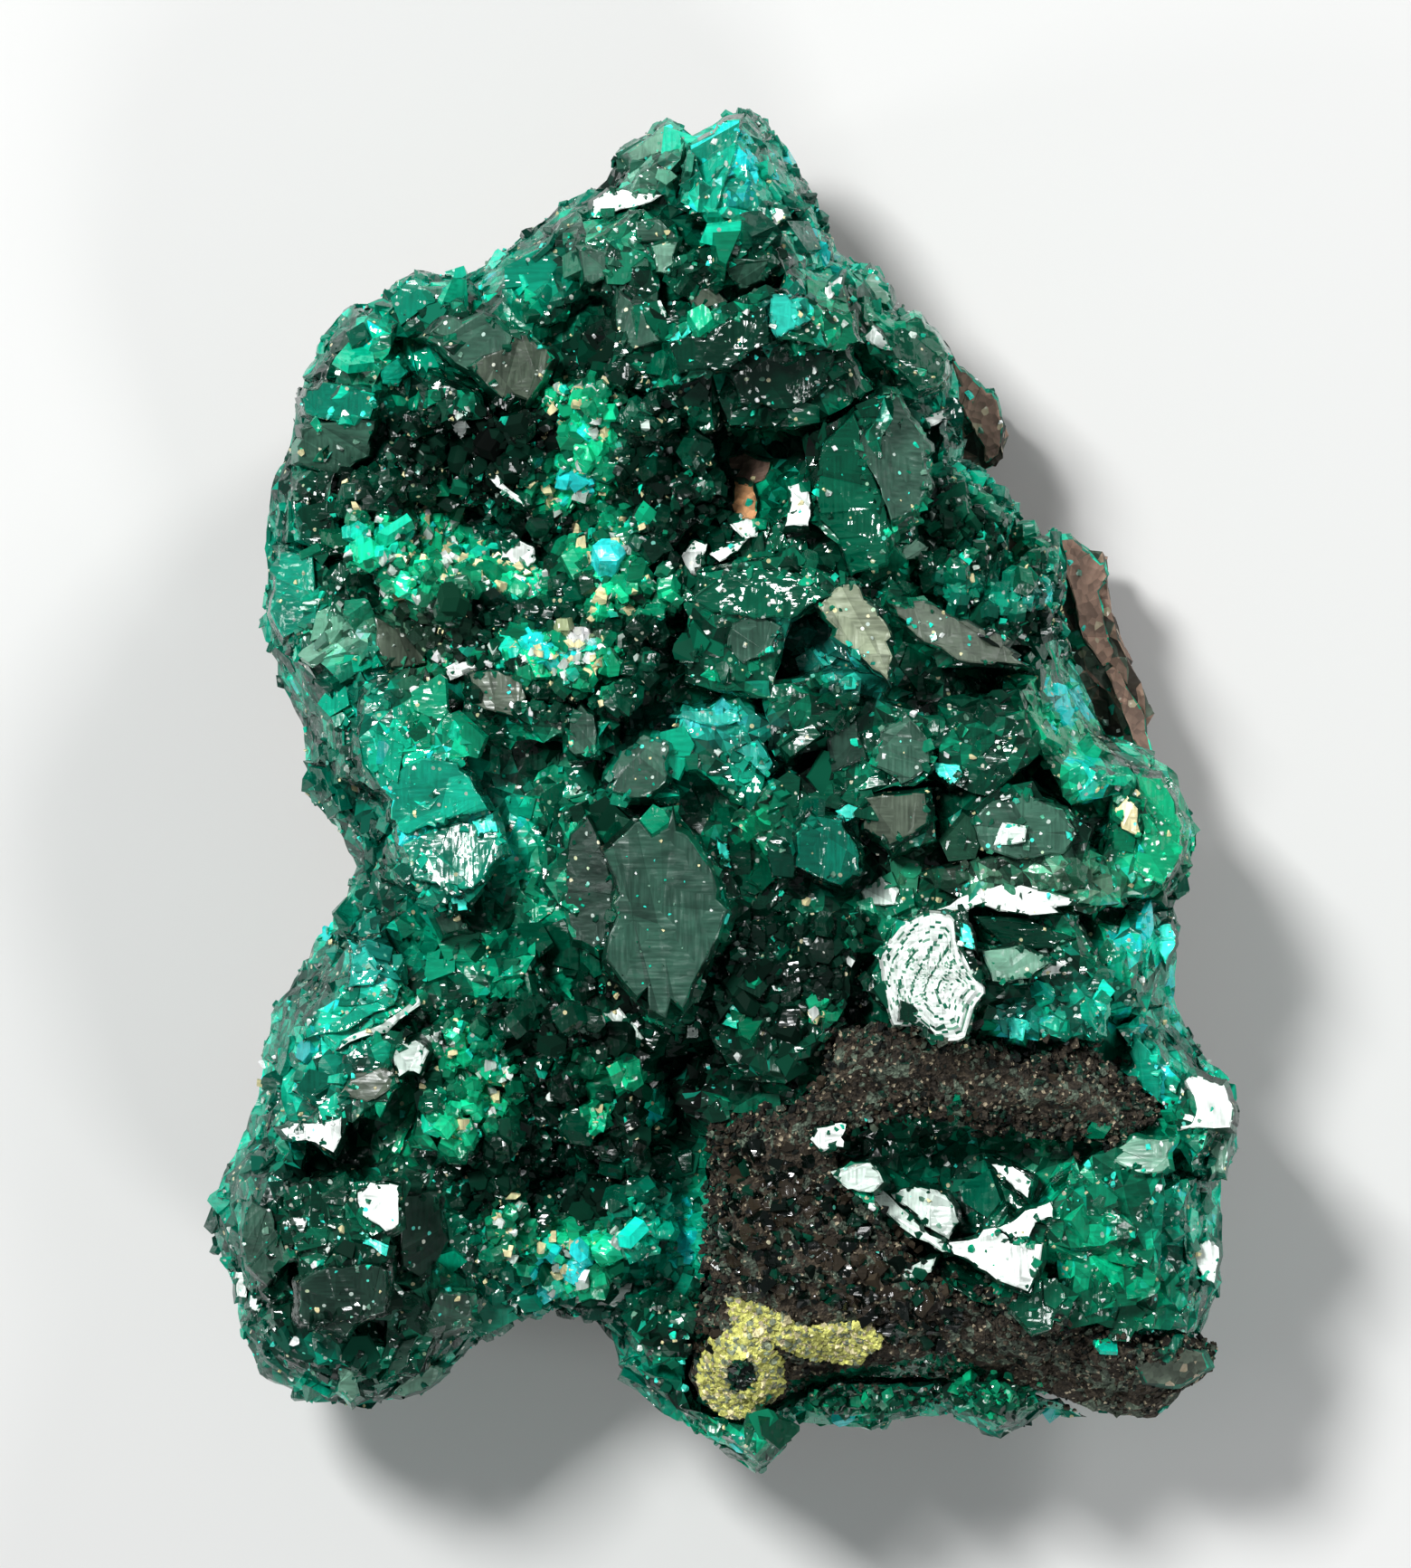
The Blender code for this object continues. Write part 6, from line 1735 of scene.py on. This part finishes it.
BASE_SHOWS = (
    (12.9, 10.9), (14.2, 9.0), (14.6, 6.2), (16.4, 2.4), (17.2, 0.9), (19.0, 0.9), (17.0, 11.0),
)
MIDDLE_DRUSE = ((0.2, -4.6), (5.6, -4.9), (6.0, -8.6), (1.6, -9.6), (-0.8, -8.0))


@dataclass
class Crystals:
    """All the small crystals: broken pieces over the mass and drusy crystals in the hollows."""

    ground: Ground
    dressed: Ground
    shapes: Shapes
    palette: Palette
    overlap: float = 0.16
    edge_pieces: int = 2000

    def open_places(self, count: int, seed: int) -> tuple[np.ndarray, np.ndarray]:
        """Picks places that no leaf covers, but for its edge."""
        places, ways = self.ground.pick(count, np.random.default_rng(seed))
        covered = np.zeros(len(places), bool)
        for leaf in LEAVES:
            ring = np.array(leaf.outline)
            ring = ring + (ring.mean(0) - ring) * self.overlap
            outline = tuple(map(tuple, ring))
            covered |= within(outline, places[:, 0], places[:, 1]) & (ways[:, 2] > 0.2)
        return places[~covered], ways[~covered]

    def build_broken(self, finishes: Finishes) -> bpy.types.Object:
        """Lays broken pieces over the whole crystal mass."""
        places, ways = self.open_places(14000, 5)
        rock = within(ROCK_LEDGE, places[:, 0], places[:, 1]) & (ways[:, 2] > 0)
        upper = within(UPPER_DRUSE, places[:, 0], places[:, 1]) & (ways[:, 2] > 0)
        lower = within(LOWER_DRUSE, places[:, 0], places[:, 1]) & (ways[:, 2] > 0)
        base = within(BASE_SHOWS, places[:, 0], places[:, 1])
        free = ~(rock | upper | lower | base) & (places[:, 2] > 5.2)
        places, ways = places[free], ways[free]
        strewn = Strewn(self.palette)
        shapes = self.shapes
        strewn.lay(Strew(240, (0.4, 1.05), shapes.chunks, 1, 0.2, 0.8), places, ways)
        strewn.lay(
            Strew(800, (0.3, 1.1), shapes.flakes, 2, 0.13, 0.12, 0.8, dull=(0.04, 0.2)),
            places, ways,
        )
        strewn.lay(
            Strew(1500, (0.15, 0.5), shapes.chunks, 3, 0.4, 0.5, 1.0, skin=Skin.CLEAR), places, ways
        )
        # Painted glints: tiny white, pale, cyan and cream chips that stand for sparkle on the broken
        # crystal.
        pale = (Tone.WHITE, Tone.PALE, Tone.SAGE, Tone.CYAN, Tone.CREAM, Tone.BRIGHT)
        places, ways = self.dressed.pick(16000, np.random.default_rng(6))
        free = (places[:, 2] > 5.2) & (ways[:, 2] > 0)
        free &= ~within(ROCK_LEDGE, places[:, 0], places[:, 1])
        free &= ~within(BASE_SHOWS, places[:, 0], places[:, 1])
        strewn.lay(
            Strew(4200, (0.04, 0.15), shapes.chunks, 4, 0.6, 0.1, 1.0, pale, Skin.SATIN, own=0.8),
            places[free], ways[free],
        )
        edges, ways = self.leaf_edges(self.edge_pieces, np.random.default_rng(8))
        strewn.lay(
            Strew(len(edges), (0.07, 0.26), shapes.chunks, 9, 0.5, 0.45, 0.8), edges, ways
        )
        return strewn.heap.build("broken_crystals", finishes)

    def leaf_edges(self, count: int, rng: np.random.Generator) -> tuple[np.ndarray, np.ndarray]:
        """Finds places along the edges of the leaves."""
        spots = []
        for leaf in LEAVES:
            if leaf.skin is Skin.RIND:
                continue
            ring = np.array(leaf.outline)
            around = np.linalg.norm(np.roll(ring, -1, axis=0) - ring, axis=1).sum()
            pieces = int(count * around / 1000.0)
            spot = along(leaf.outline, pieces, rng)
            spots.append(spot + rng.normal(0, 0.10, (pieces, 2)))
        return self.dressed.drops(np.concatenate(spots))

    def build_druse(self, name: str, outline: Outline, count: int, seed: int,
                    finishes: Finishes, bright: float) -> bpy.types.Object:
        """Lays drusy crystals inside an outline.

        Args:
            name: the piece's name.
            outline: where they are.
            count: how many of the main size there are.
            seed: what varies them.
            finishes: the specimen's materials.
            bright: the share that is light green, cream or white.

        Returns:
            The piece.
        """
        places, ways = self.open_places(110000, seed)
        inside = within(outline, places[:, 0], places[:, 1]) & (ways[:, 2] > 0.1)
        places, ways = places[inside], ways[inside]
        rng = np.random.default_rng(seed)
        lit = self.palette.share(places, Tone.LEAF, Tone.CREAM) > rng.random(len(places))
        strewn = Strewn(self.palette)
        prisms, chunks = self.shapes.prisms, self.shapes.chunks
        green = (Tone.GREEN, Tone.BRIGHT, Tone.BODY, Tone.DEEP)
        light = (Tone.CREAM, Tone.CREAM, Tone.WHITE, Tone.PALE, Tone.BRIGHT)
        strewn.lay(
            Strew(count // 3, (0.28, 0.6), prisms, seed + 1, 0.5, 0.3, 0.9, green, own=0.06,
                  shaded=True),
            places, ways,
        )
        strewn.lay(
            Strew(count, (0.14, 0.32), prisms, seed + 2, 0.6, 0.1, 1.0, green, fleck=0.05,
                  own=0.1, shaded=True),
            places, ways,
        )
        # Painted highlights: cream, white and pale chips, with more of them inside the lit washes.
        strewn.lay(
            Strew(int(1.9 * count), (0.05, 0.17), chunks, seed + 3, 0.6, -0.6, 1.0, light,
                  Skin.SATIN, own=bright),
            places, ways,
        )
        strewn.lay(
            Strew(int(0.85 * count), (0.10, 0.26), chunks, seed + 4, 0.6, -0.8, 1.0, light,
                  Skin.SATIN, own=1.0),
            places[lit], ways[lit],
        )
        return strewn.heap.build(name, finishes)


ROCK_LEDGE = (
    (4.1, -11.7), (4.5, -9.9), (6.1, -9.7), (9.4, -10.3), (11.9, -11.1), (14.1, -10.7),
    (15.9, -11.8), (17.0, -12.8), (15.9, -13.7), (10.8, -13.3), (9.4, -12.7), (7.2, -12.5),
    (4.7, -13.3), (3.8, -13.7), (4.1, -15.0), (4.7, -15.9), (5.8, -17.1), (7.2, -18.8),
    (9.0, -20.2), (10.8, -20.6), (13.7, -21.7), (16.3, -22.6), (19.2, -22.6), (19.3, -23.5),
    (18.0, -24.3), (17.0, -25.1), (12.6, -24.8), (10.8, -24.1), (8.7, -24.6), (3.6, -25.0),
    (0.0, -23.8), (-0.8, -22.4), (-0.4, -20.6), (-0.4, -17.0), (-0.2, -14.8), (0.0, -13.4),
    (2.9, -12.9),
)
DARK_ON_LEDGE = (
    (-0.2, -14.4), (3.4, -14.2), (4.4, -15.9), (7.4, -19.2), (9.4, -20.8), (8.6, -22.4),
    (6.6, -21.6), (4.0, -20.6), (1.0, -19.8), (-0.4, -18.6),
)
GREEN_ON_LEDGE = (
    (2.2, -25.4), (2.6, -23.6), (4.4, -23.2), (6.6, -22.9), (8.8, -22.4), (10.4, -23.2),
    (9.6, -24.8), (5.6, -25.8),
)
CRUST_BED = (
    (-1.0, -23.4), (-0.6, -22.1), (0.4, -21.5), (1.5, -21.8), (2.2, -22.8), (2.2, -23.9),
    (1.4, -24.9), (0.2, -25.0), (-0.7, -24.4),
)
CRUST_ARM = (
    (0.2, -20.3), (1.6, -20.6), (3.0, -21.4), (5.6, -21.2), (6.2, -21.9), (5.4, -22.7),
    (3.4, -22.6), (2.0, -21.9), (0.4, -21.2),
)


@dataclass
class Grains:
    """The grains of the brown rock and of the yellow-green crust on it."""

    ground: Ground
    shapes: Shapes
    palette: Palette
    hole: tuple[float, float, float] = (0.65, -23.2, 0.55)
    lowest_brink: float = -22.8
    lower_ends: tuple[float, float] = (3.2, 12.6)
    inside: float = 0.75

    def brink(
        self, count: int, rng: np.random.Generator, low: bool = False
    ) -> tuple[np.ndarray, np.ndarray]:
        """Finds places along the ledge's edge, level with what is beside it.

        Args:
            count: how many are tried.
            rng: what picks them.
            low: whether they are on the lower edge or on all the rest.

        Returns:
            The places and which way is up.
        """
        spots = along(ROCK_LEDGE, count, rng) + rng.normal(0, 0.32, (count, 2))
        high = np.full(count, -math.inf)
        for x, y in ((0, 0), (0.35, 0), (-0.35, 0), (0, 0.35), (0, -0.35)):
            found = [self.ground.drop(a + x, b + y) for a, b in spots]
            level = np.array([-math.inf if z is None else z for z in found])
            high = np.maximum(high, level)
        lower = (spots[:, 1] <= self.lowest_brink) & (spots[:, 0] > self.lower_ends[0])
        lower &= spots[:, 0] < self.lower_ends[1]
        lower &= np.array([self.ground.drop(a, b - self.inside) is not None for a, b in spots])
        keep = np.isfinite(high) & (lower if low else spots[:, 1] > self.lowest_brink)
        lift = rng.uniform(-0.45, -0.05, count)
        places = np.column_stack((spots, high + lift))[keep]
        return places, np.tile((0.0, 0.0, 1.0), (len(places), 1))

    def build_rock(self, finishes: Finishes) -> bpy.types.Object:
        """Lays the brown rock's grains and what is broken along its edge.

        Args:
            finishes: the specimen's materials.

        Returns:
            The piece.
        """
        places, ways = self.ground.pick(110000, np.random.default_rng(9))
        x, y = places[:, 0], places[:, 1]
        up = ways[:, 2] > 0.1
        brown = within(ROCK_LEDGE, x, y) & up
        strewn = Strewn(self.palette)
        earth = (Tone.BROWN, Tone.BROWN, Tone.BROWN, Tone.STONE, Tone.BLACK)
        strewn.lay(
            Strew(6500, (0.06, 0.15), self.shapes.grains, 31, 0.6, 0.1, 0.7, earth, Skin.ROCK,
                  (0.6, 0.9), 0.0, 1.0),
            places[brown], ways[brown],
        )
        places, ways = self.brink(4200, np.random.default_rng(19))
        mixed = (Tone.BROWN, Tone.BROWN, Tone.BLACK, Tone.BROWN, Tone.DEEP, Tone.STONE)
        strewn.lay(
            Strew(5200, (0.08, 0.22), self.shapes.chunks, 51, 0.6, 0.4, 0.9, mixed, Skin.ROCK,
                  (0.6, 0.9), 0.0, 1.0),
            places, ways,
        )
        places, ways = self.brink(5000, np.random.default_rng(21), low=True)
        green = (Tone.BODY, Tone.GREEN, Tone.DEEP, Tone.BODY, Tone.LEAF)
        strewn.lay(
            Strew(600, (0.14, 0.32), self.shapes.chunks, 53, 0.6, 0.4, 0.9, green, own=1.0),
            places, ways,
        )
        places, ways = self.ground.scatter(DARK_ON_LEDGE, 1500, np.random.default_rng(20))
        dark = (Tone.BLACK, Tone.DEEP, Tone.BLACK, Tone.BROWN, Tone.BROWN)
        strewn.lay(
            Strew(420, (0.12, 0.42), self.shapes.chunks, 52, 0.4, 0.45, 0.9, dark, own=1.0),
            places, ways,
        )
        return strewn.heap.build("rock_grains", finishes)

    def build_crust(self, finishes: Finishes) -> bpy.types.Object:
        """Lays the yellow-green crust's grains, with the dark hole that they leave.

        Args:
            finishes: the specimen's materials.

        Returns:
            The piece.
        """
        strewn = Strewn(self.palette)
        sulphur = (Tone.YELLOW, Tone.YELLOW, Tone.YELLOW, Tone.CREAM, Tone.BEIGE)
        for number, outline in enumerate((CRUST_BED, CRUST_ARM)):
            places, ways = self.ground.scatter(outline, 5000, np.random.default_rng(17 + number))
            far = np.hypot(places[:, 0] - self.hole[0], (places[:, 1] - self.hole[1]) / 1.3)
            ring = far > self.hole[2]
            strewn.lay(
                Strew(2400, (0.09, 0.24), self.shapes.grains, 33 + number, 0.6, -0.4, 0.8,
                      sulphur, Skin.CRUST, (0.6, 0.9), 0.0, 1.0),
                places[ring], ways[ring],
            )
            dark = (Tone.BLACK, Tone.DEEP, Tone.BODY)
            strewn.lay(
                Strew(300, (0.1, 0.24), self.shapes.chunks, 43, 0.6, 0.1, 0.8, dark, own=1.0),
                places[~ring], ways[~ring],
            )
        return strewn.heap.build("crust_grains", finishes)


@dataclass
class Swirl:
    """The white shell-shaped break, with rings like those on a broken bottle."""

    ground: Ground
    middle: tuple[float, float] = (8.1, -7.4)
    heart: tuple[float, float] = (9.6, -7.7)
    rings: int = 26
    spokes: int = 60
    outline: Outline = (
        (6.2, -8.0), (6.0, -6.6), (6.9, -5.4), (8.0, -4.8), (9.1, -4.9), (9.2, -6.0), (9.9, -7.4),
        (10.4, -8.0), (9.9, -8.6), (9.5, -10.0), (8.4, -10.1), (7.6, -9.4), (6.6, -9.4),
    )

    def reach(self, way: float) -> float:
        """Gives how far the outline is from the middle in a direction."""
        low, high = 0.1, 5.0
        for _ in range(24):
            half = (low + high) / 2
            spot = np.array([self.middle[0] + half * math.cos(way)])
            across = np.array([self.middle[1] + half * math.sin(way)])
            if within(self.outline, spot, across)[0]:
                low = half
            else:
                high = half
        return low

    def build(self, finishes: Finishes) -> bpy.types.Object:
        """Models the break as a ringed fan.

        Args:
            finishes: the specimen's materials.

        Returns:
            The piece.
        """
        bpy.ops.object.select_all(action="DESELECT")
        bpy.ops.mesh.primitive_grid_add(x_subdivisions=self.spokes, y_subdivisions=self.rings)
        piece = bpy.context.object
        mesh = piece.data
        points = np.empty(len(mesh.vertices) * 3)
        mesh.vertices.foreach_get("co", points)
        points = points.reshape(-1, 3)
        turn = (points[:, 0] + 1.0) * math.pi
        out = (points[:, 1] + 1.0) / 2.0
        reach = np.array([self.reach(way) for way in turn])
        x = self.middle[0] + out * reach * np.cos(turn)
        y = self.middle[1] + out * reach * np.sin(turn)
        heights = np.array([self.ground.drop(a, b) or 0.0 for a, b in zip(x, y)])
        table = np.column_stack((x - self.middle[0], y - self.middle[1], np.ones(len(x))))
        slope = np.linalg.lstsq(table, heights, rcond=None)[0]
        slope[:2] = slope[:2] * 0.3 + np.array(Lie.LAMP.value) * 0.8
        base = table @ slope
        base += np.quantile(heights - base, 0.92) + 0.2
        bend = 0.35 * np.sin(turn * 2 + 0.7) + 0.2 * np.sin(turn * 5)
        waves = np.abs((out * 6.5 + bend) % 1.0 - 0.5)
        z = base + 0.34 * waves - 0.5 * out**6
        z = np.where(out > 0.999, base - 1.4, z)
        mesh.vertices.foreach_set("co", (np.column_stack((x, y, z)) * MM).ravel())
        bpy.ops.object.mode_set(mode="EDIT")
        bpy.ops.mesh.select_all(action="SELECT")
        bpy.ops.mesh.remove_doubles(threshold=0.02 * MM)
        bpy.ops.mesh.normals_make_consistent(inside=False)
        bpy.ops.object.mode_set(mode="OBJECT")
        piece.name = mesh.name = "white_break"
        for material in finishes.listed():
            mesh.materials.append(material)
        faces = len(mesh.polygons)
        mesh.polygons.foreach_set("material_index", np.full(faces, Skin.SATIN.value))
        rng = np.random.default_rng(12)
        # Painted reflection: the break is white in colour as well as turned to the lamp, whose
        # reflection it also catches.
        tints = np.array(Tone.WHITE.value) * rng.uniform(0.75, 1.0, (faces, 1))
        middles = np.empty(faces * 3)
        mesh.polygons.foreach_get("center", middles)
        away = middles.reshape(-1, 3)[:, :2] / MM - np.array(self.heart)
        turns = np.hypot(*away.T) * 1.9 + 0.4 * np.sin(3 * np.arctan2(away[:, 1], away[:, 0]))
        gap = (turns % 1.0 < 0.17) & (rng.random(faces) < 0.8)
        tints = np.where(gap[:, None], np.array(Tone.BODY.value), tints)
        tints = np.where(rng.random((faces, 1)) < 0.12, np.array(Tone.SAGE.value), tints)
        paint(mesh, np.column_stack((tints, np.full(faces, 0.22))), np.zeros(faces))
        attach(piece, "root")
        LOG.info("%s: %d faces", piece.name, faces)
        return piece


# Where it is seen


@dataclass
class Studio:
    """The pale floor, the soft lamps and the camera that looks straight down."""

    middle: tuple[float, float] = (-0.76, 0.18)
    frame_height: float = 62.75
    rim_height: float = 8.0
    distance: float = 800.0

    def build(self) -> None:
        """Sets up the floor, the light and the camera."""
        self.floor()
        self.lamp("key_lamp", (-0.30, 0.30, 0.62), 0.16, 5.6)
        self.lamp("side_lamp", (-0.62, -0.10, 0.30), 0.14, 0.6)
        self.lamp("back_lamp", (0.36, 0.46, 0.34), 0.16, 1.7)
        self.lamp("front_lamp", (0.30, -0.50, 0.45), 0.16, 1.3)
        self.world()
        self.camera()

    def floor(self) -> None:
        """Lays the floor."""
        bpy.ops.object.select_all(action="DESELECT")
        bpy.ops.mesh.primitive_plane_add(size=4.0, location=(0, 0, -0.0001))
        floor = bpy.context.object
        floor.name = "floor"
        book = NodeBook("pale_floor")
        book.surface({"Base Color": (0.68, 0.68, 0.67, 1.0), "Roughness": 0.9})
        floor.data.materials.append(book.material)

    def lamp(self, name: str, place: tuple, size: float, power: float) -> None:
        """Hangs a square soft lamp that faces the specimen.

        Args:
            name: its name.
            place: where it hangs, in metres.
            size: its side, in metres.
            power: in watts.
        """
        data = bpy.data.lights.new(name, "AREA")
        data.shape = "SQUARE"
        data.size = size
        data.energy = power
        lamp = bpy.data.objects.new(name, data)
        bpy.context.scene.collection.objects.link(lamp)
        lamp.location = place
        lamp.rotation_euler = Vector(place).to_track_quat("Z", "Y").to_euler()

    def world(self) -> None:
        """Gives the room's dim even light."""
        world = bpy.data.worlds.new("room")
        bpy.context.scene.world = world
        world.use_nodes = True
        world.node_tree.nodes["Background"].inputs["Color"].default_value = (0.9, 0.95, 1.0, 1.0)
        world.node_tree.nodes["Background"].inputs["Strength"].default_value = 0.2
        bpy.context.scene.view_settings.view_transform = "Standard"
        bpy.context.scene.view_settings.gamma = 0.92

    def camera(self) -> None:
        """Sets the camera over the specimen, as the photograph was taken."""
        data = bpy.data.cameras.new("camera")
        data.sensor_width = 36.0
        data.lens = data.sensor_width * self.distance / self.frame_height
        data.clip_start = 0.05
        camera = bpy.data.objects.new("camera", data)
        bpy.context.scene.collection.objects.link(camera)
        camera.location = (
            self.middle[0] * MM, self.middle[1] * MM, (self.rim_height + self.distance) * MM
        )
        bpy.context.scene.camera = camera


def main() -> None:
    """Builds the specimen piece by piece, and the studio round it."""
    logging.basicConfig(level=logging.INFO, format="%(message)s")
    finishes = Finishes.make()
    palette = Palette()
    solids = [node.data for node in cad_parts.values()]
    everything = Ground(*solids)
    shapes = Shapes.model()
    CrystalMass("dioptase_crystals", 1.1, 0.55, 0.16, 0.05, 2, 5.0).build(finishes, palette)
    for number, node in enumerate(("druse_upper", "druse_lower")):
        bed = CrystalMass(node, 0.9, 0.5, 0.15, 0.06, 7 + number, shaded=True)
        bed.build(finishes, palette)
    RockSkin(
        "rock_ledge", 0.9, 0.36, 0.14, 0.08, 11, tones=(Tone.BROWN, Tone.BROWN, Tone.STONE),
        patches=(
            (GREEN_ON_LEDGE, Tone.BODY, Skin.CRYSTAL, 0.15),
            (CRUST_BED, Tone.YELLOW, Skin.CRUST, 0.8),
            (CRUST_ARM, Tone.YELLOW, Skin.CRUST, 0.8),
        ),
    ).build(finishes)
    RockSkin(
        "rock_base", 1.6, 0.8, 0.22, 0.1, 13, tones=(Tone.RIND, Tone.BROWN, Tone.STONE),
        skin=Skin.RIND, slot=Slot.RIND,
    ).build(finishes)
    leaves = LeafFaces(everything, palette).build(finishes)
    Swirl(everything).build(finishes)
    crystals = Crystals(everything, Ground(*solids, leaves.data), shapes, palette)
    crystals.build_broken(finishes)
    for name, outline, count, seed, bright in (
        ("drusy_crystals_upper", UPPER_DRUSE, 2000, 41, 0.75),
        ("drusy_crystals_lower", LOWER_DRUSE, 1500, 51, 0.5),
        ("drusy_crystals_slope", SLOPE_DRUSE, 420, 61, 0.6),
        ("drusy_crystals_middle", MIDDLE_DRUSE, 320, 71, 0.35),
    ):
        crystals.build_druse(name, outline, count, seed, finishes, bright)
    grains = Grains(everything, shapes, palette)
    grains.build_rock(finishes)
    grains.build_crust(finishes)
    Studio().build()


if __name__ == "__main__":
    main()
